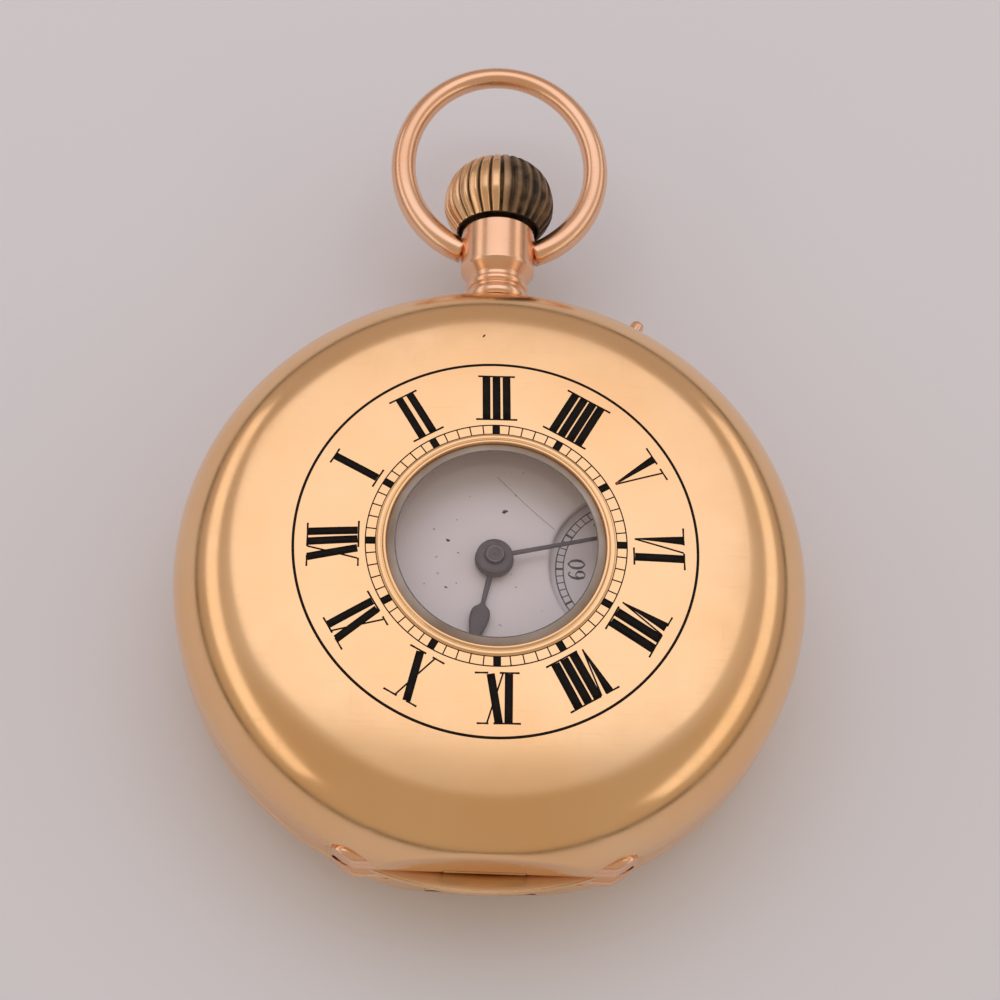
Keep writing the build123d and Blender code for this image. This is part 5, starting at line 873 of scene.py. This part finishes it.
# Age marks: specks on the dial as (x, y, half length), a hairline in it, and a numeral's lost black
crack = np.array([(0.1, 4.95), (0.8, 4.25), (1.45, 3.6), (2.1, 2.98), (2.75, 2.4), (3.2, 2.02)])
blots = []
for x, y, size in ((-2.46, 1.15, 0.12), (0.54, 2.92, 0.16), (-3.22, 1.75, 0.05), (-2.49, -1.55, 0.08),
                   (-1.9, 0.45, 0.05), (-1.95, -1.3, 0.04), (1.1, 3.9, 0.05), (1.2, -1.4, 0.04)):
    s = np.linspace(-1, 1, 7)
    line = np.stack([x + s * size, y + 0.3 * size * np.sin(2.5 * s + x)], -1)
    blots.append((line, size * 0.55 * np.sqrt(1.02 - s**2) * (1 + 0.3 * np.sin(5 * s + y))))
make_piece("dial_specks", inlay(blots, dial_level, 0.006), "case", speck)
crack_line = inlay([(crack, np.full(len(crack), 0.012))], dial_level, 0.004)
make_piece("dial_hairline", crack_line, "case", hairline)
loss = np.radians(180 - 150 + FACE_TURN)
loss_way, loss_side = np.array([np.cos(loss), np.sin(loss)]), np.array([np.sin(loss), -np.cos(loss)])
s = np.linspace(-1, 1, 9)
loss_line = loss_way[None] * (7.33 + 0.14 * s[:, None]) + loss_side[None] * (0.10 - 0.05 * s[:, None])
lost = inlay([(loss_line, 0.07 * np.sqrt(1.03 - s**2))], face_height, 0.013)
make_piece("numeral_loss", lost, "front_cover", copper_loss)


# Hands
def hand_surface(keys, angle, z_low, z_high, centre=(0.0, 0.0)):
    """Hand from keys (place along it, half width), smoothed and carried out along its bearing; the
    top edges slope off so that it catches the light along two facets."""
    keys = np.asarray(keys, float)
    s = np.linspace(keys[0, 0], keys[-1, 0], 150)
    half = np.interp(s, keys[:, 0], keys[:, 1])
    for _ in range(3):
        half[1:-1] = (half[:-2] + 2 * half[1:-1] + half[2:]) / 4
    across = np.array([-1, -1, -0.72, 0.0, 0.72, 1, 1])
    edge = z_low + (z_high - z_low) * 0.55
    height = np.array([z_low, edge, z_high - 0.01, z_high, z_high - 0.01, edge, z_low])
    local_x = s[:, None] + 0 * across[None]
    local_y = half[:, None] * across[None]
    c, d = np.cos(angle), np.sin(angle)
    x = centre[0] + local_x * c - local_y * d
    y = centre[1] + local_x * d + local_y * c
    points = np.stack([x, y, height[None] + 0 * local_x], -1)
    ends = points.mean(1, keepdims=True).repeat(len(across), 1)
    return (np.concatenate([ends[:1], points, ends[-1:]]), False, True)


HOUR_LOW, MINUTE_LOW = MID + 3.75, MID + 4.15
hour_angle, minute_angle = np.radians(-102), np.radians(13.4)
hour_keys = [(0, 0.16), (1, 0.16), (2.2, 0.13), (2.62, 0.12), (2.72, 0.22), (2.85, 0.40), (3.05, 0.50),
             (3.35, 0.53), (3.75, 0.48), (4.2, 0.36), (4.6, 0.23), (4.95, 0.13), (5.2, 0.08), (5.5, 0.06),
             (5.75, 0.16), (6.05, 0.30), (6.3, 0.32), (6.6, 0.22), (7.0, 0.07), (7.2, 0.03)]
minute_keys = [(0.0, 0.125), (1.0, 0.125), (4.0, 0.11), (6.5, 0.10), (7.4, 0.20), (7.9, 0.30), (8.4, 0.24),
               (9.2, 0.09), (10.4, 0.05), (11.0, 0.025)]


def boss(low, radius, shoulder):
    """Round boss of a hand: upright edge, soft shoulder, flat top, and a hole for its pipe."""
    hole, height = 0.46, 0.24
    top = low + height
    profile = softened([(hole, low, 0), (radius, low, 0.03), (radius, low + height * 0.6, 0.08),
                        (radius - shoulder, top, 0.12), (hole, top, 0.0), (hole, low, 0)], 6)
    return (turned(profile, 96), False, True)


make_piece("hour_hand_spade", [hand_surface(hour_keys, hour_angle, HOUR_LOW, HOUR_LOW + 0.15),
                               boss(HOUR_LOW - 0.02, 1.03, 0.12)],
           "hour", hand_steel, ["hour_hand"])
make_piece("minute_hand_slim", [hand_surface(minute_keys, minute_angle, MINUTE_LOW, MINUTE_LOW + 0.13),
                                boss(MINUTE_LOW - 0.02, 0.98, 0.2)],
           "minute", hand_steel, ["minute_hand"])
closed_turn("centre_cap", [
    (0.455, 4.2, 0), (0.47, 4.2, 0), (0.47, 4.55, 0.04), (0.40, 4.64, 0.04), (0.26, 4.66, 0.03),
    (0.22, 4.615, 0.03), (0.1, 4.615, 0.03), (0.06, 4.65, 0.02), (0.0, 4.66, 0)],
    64, "minute", hand_steel)
seconds_keys = [(-1.1, 0.11), (-0.5, 0.08), (0.0, 0.07), (2.0, 0.05), (3.3, 0.03)]
seconds_boss = softened([(0.12, MID + 2.98, 0), (0.4, MID + 2.98, 0.02), (0.4, MID + 3.14, 0.05),
                         (0.12, MID + 3.17, 0)])
make_piece("seconds_hand_slim", [hand_surface(seconds_keys, 0.0, MID + 3.0, MID + 3.12, SECONDS),
                                 (turned(seconds_boss, 48, SECONDS), False, True)],
           "fourth", hand_steel, ["seconds_hand"])

# Small dark nick on the top of the cover
s = np.linspace(-1, 1, 7)
nick_line = np.stack([-0.915 + 0.07 * s, 12.39 + 0.1 * s], -1)
nick = inlay([(nick_line, 0.05 * np.sqrt(1.02 - s**2))], face_height, 0.006)
make_piece("cover_nick", nick, "front_cover", speck)

# Finishes of the CAD's own pieces, which show where nothing replaces them
finishes = {
    "gold": inside_gold, "rose_gold": rose_gold, "glass": crystal_clear, "enamel": enamel,
    "blued_steel": blued, "gilt_brass": gilt, "wheel_brass": wheel_brass, "steel": steel,
    "ruby": ruby.material,
}
for item in frame["record"]["subparts"]:
    materials = frame["nodes"][item["node"]].data.materials
    materials.clear()
    materials.append(finishes[item["material_slot"]])

# Stage, light and camera
scene = bpy.context.scene
paper = Finish("pale_paper")
mottled = paper.ramp(paper.noise(9.0, 3.0), 0.3, 0.7)
paper.set(Base_Color=paper.mix(mottled, (0.86, 0.88, 0.97), (0.845, 0.865, 0.955)), Roughness=0.85)
paper.bump(paper.noise(1400.0, 3.0), 2e-5, 0.4)
floor_mesh = bpy.data.meshes.new("floor")
floor_mesh.from_pydata([(-2, -2, 0), (2, -2, 0), (2, 2, 0), (-2, 2, 0)], [], [(0, 1, 2, 3)])
floor_mesh.materials.append(paper.material)
floor = bpy.data.objects.new("floor", floor_mesh)
scene.collection.objects.link(floor)


def softbox(name, location, size, brightness, colour):
    """Rectangular lamp that looks at the origin. Its power is its brightness times pi times its area;
    in the render it shows about half as bright again."""
    lamp = bpy.data.lights.new(name, "AREA")
    lamp.shape = "RECTANGLE"
    lamp.size, lamp.size_y = size
    lamp.energy = brightness * np.pi * size[0] * size[1]
    lamp.color = colour
    obj = bpy.data.objects.new(name, lamp)
    way = -np.array(location) / np.linalg.norm(location)
    side = np.cross(way, (0.0, 1.0, 0.001))
    side /= np.linalg.norm(side)
    over = np.cross(side, way)
    rotation = Matrix(((side[0], over[0], -way[0]), (side[1], over[1], -way[1]), (side[2], over[2], -way[2])))
    obj.matrix_world = Matrix.Translation(location) @ rotation.to_4x4()
    scene.collection.objects.link(obj)


softbox("top_light", (-0.02, 0.20, 0.42), (0.52, 0.34), 0.47, (0.99, 0.985, 1.12))
softbox("left_light", (-0.44, 0.05, 0.24), (0.15, 0.95), 0.66, (1.0, 0.96, 0.98))
softbox("right_light", (0.44, 0.05, 0.24), (0.15, 0.95), 0.62, (1.0, 0.96, 0.94))

# The room that the gold mirrors: dark by the floor, light walls, warmer in front, a pale ceiling
scene.world = bpy.data.worlds.new("studio")
room = Finish("studio", scene.world, "Background")
toward = Value(room.node("ShaderNodeTexCoord").outputs["Generated"])
parts = room.node("ShaderNodeSeparateXYZ", None, {0: toward}).outputs
behind, above = Value(parts[1]), Value(parts[2])
off_floor, shade = room.ramp(above, 0.03, 0.12), (0.085, 0.065, 0.055)
walls = room.mix(off_floor, shade, (0.47, 0.395, 0.345))
ceiling = room.mix(room.ramp(above, 0.55, 0.95), walls, (0.70, 0.66, 0.65))
front = room.mix(off_floor, shade, (0.50, 0.415, 0.32))
room.set(Color=room.mix(room.ramp(behind, -0.12, 0.12), front, ceiling), Strength=1.0)

# Camera, measured from the photograph; its place is counted in outer radii of the minute track
azimuth, elevation, roll = np.radians([-6.45, 65.19, 8.32])
level = np.array([np.cos(azimuth), np.sin(azimuth), 0.0])
back = np.array([level[1], -level[0], 0.0]) * np.cos(elevation) + [0, 0, np.sin(elevation)]
upright = np.cross(back, level)
right = np.cos(roll) * level + np.sin(roll) * upright
top = -np.sin(roll) * level + np.cos(roll) * upright
spot = (back * 16.435 + right * 0.0254 + top * 0.3254) * TRACK + np.array([0, 0, 12.0])
FOCAL, PICTURE, SENSOR = 2156.2, 1000, 36.0      # pixels, pixels, millimetres
camera = bpy.data.cameras.new("camera")
camera.sensor_width = SENSOR
camera.lens = FOCAL / PICTURE * SENSOR
camera.clip_start = 0.005
camera.clip_end = 20.0
camera_object = bpy.data.objects.new("camera", camera)
facing = Matrix([[right[i], top[i], back[i]] for i in range(3)])
camera_object.matrix_world = Matrix.Translation(spot * METRE) @ facing.to_4x4()
scene.collection.objects.link(camera_object)
scene.camera = camera_object
scene.view_settings.view_transform = "Standard"
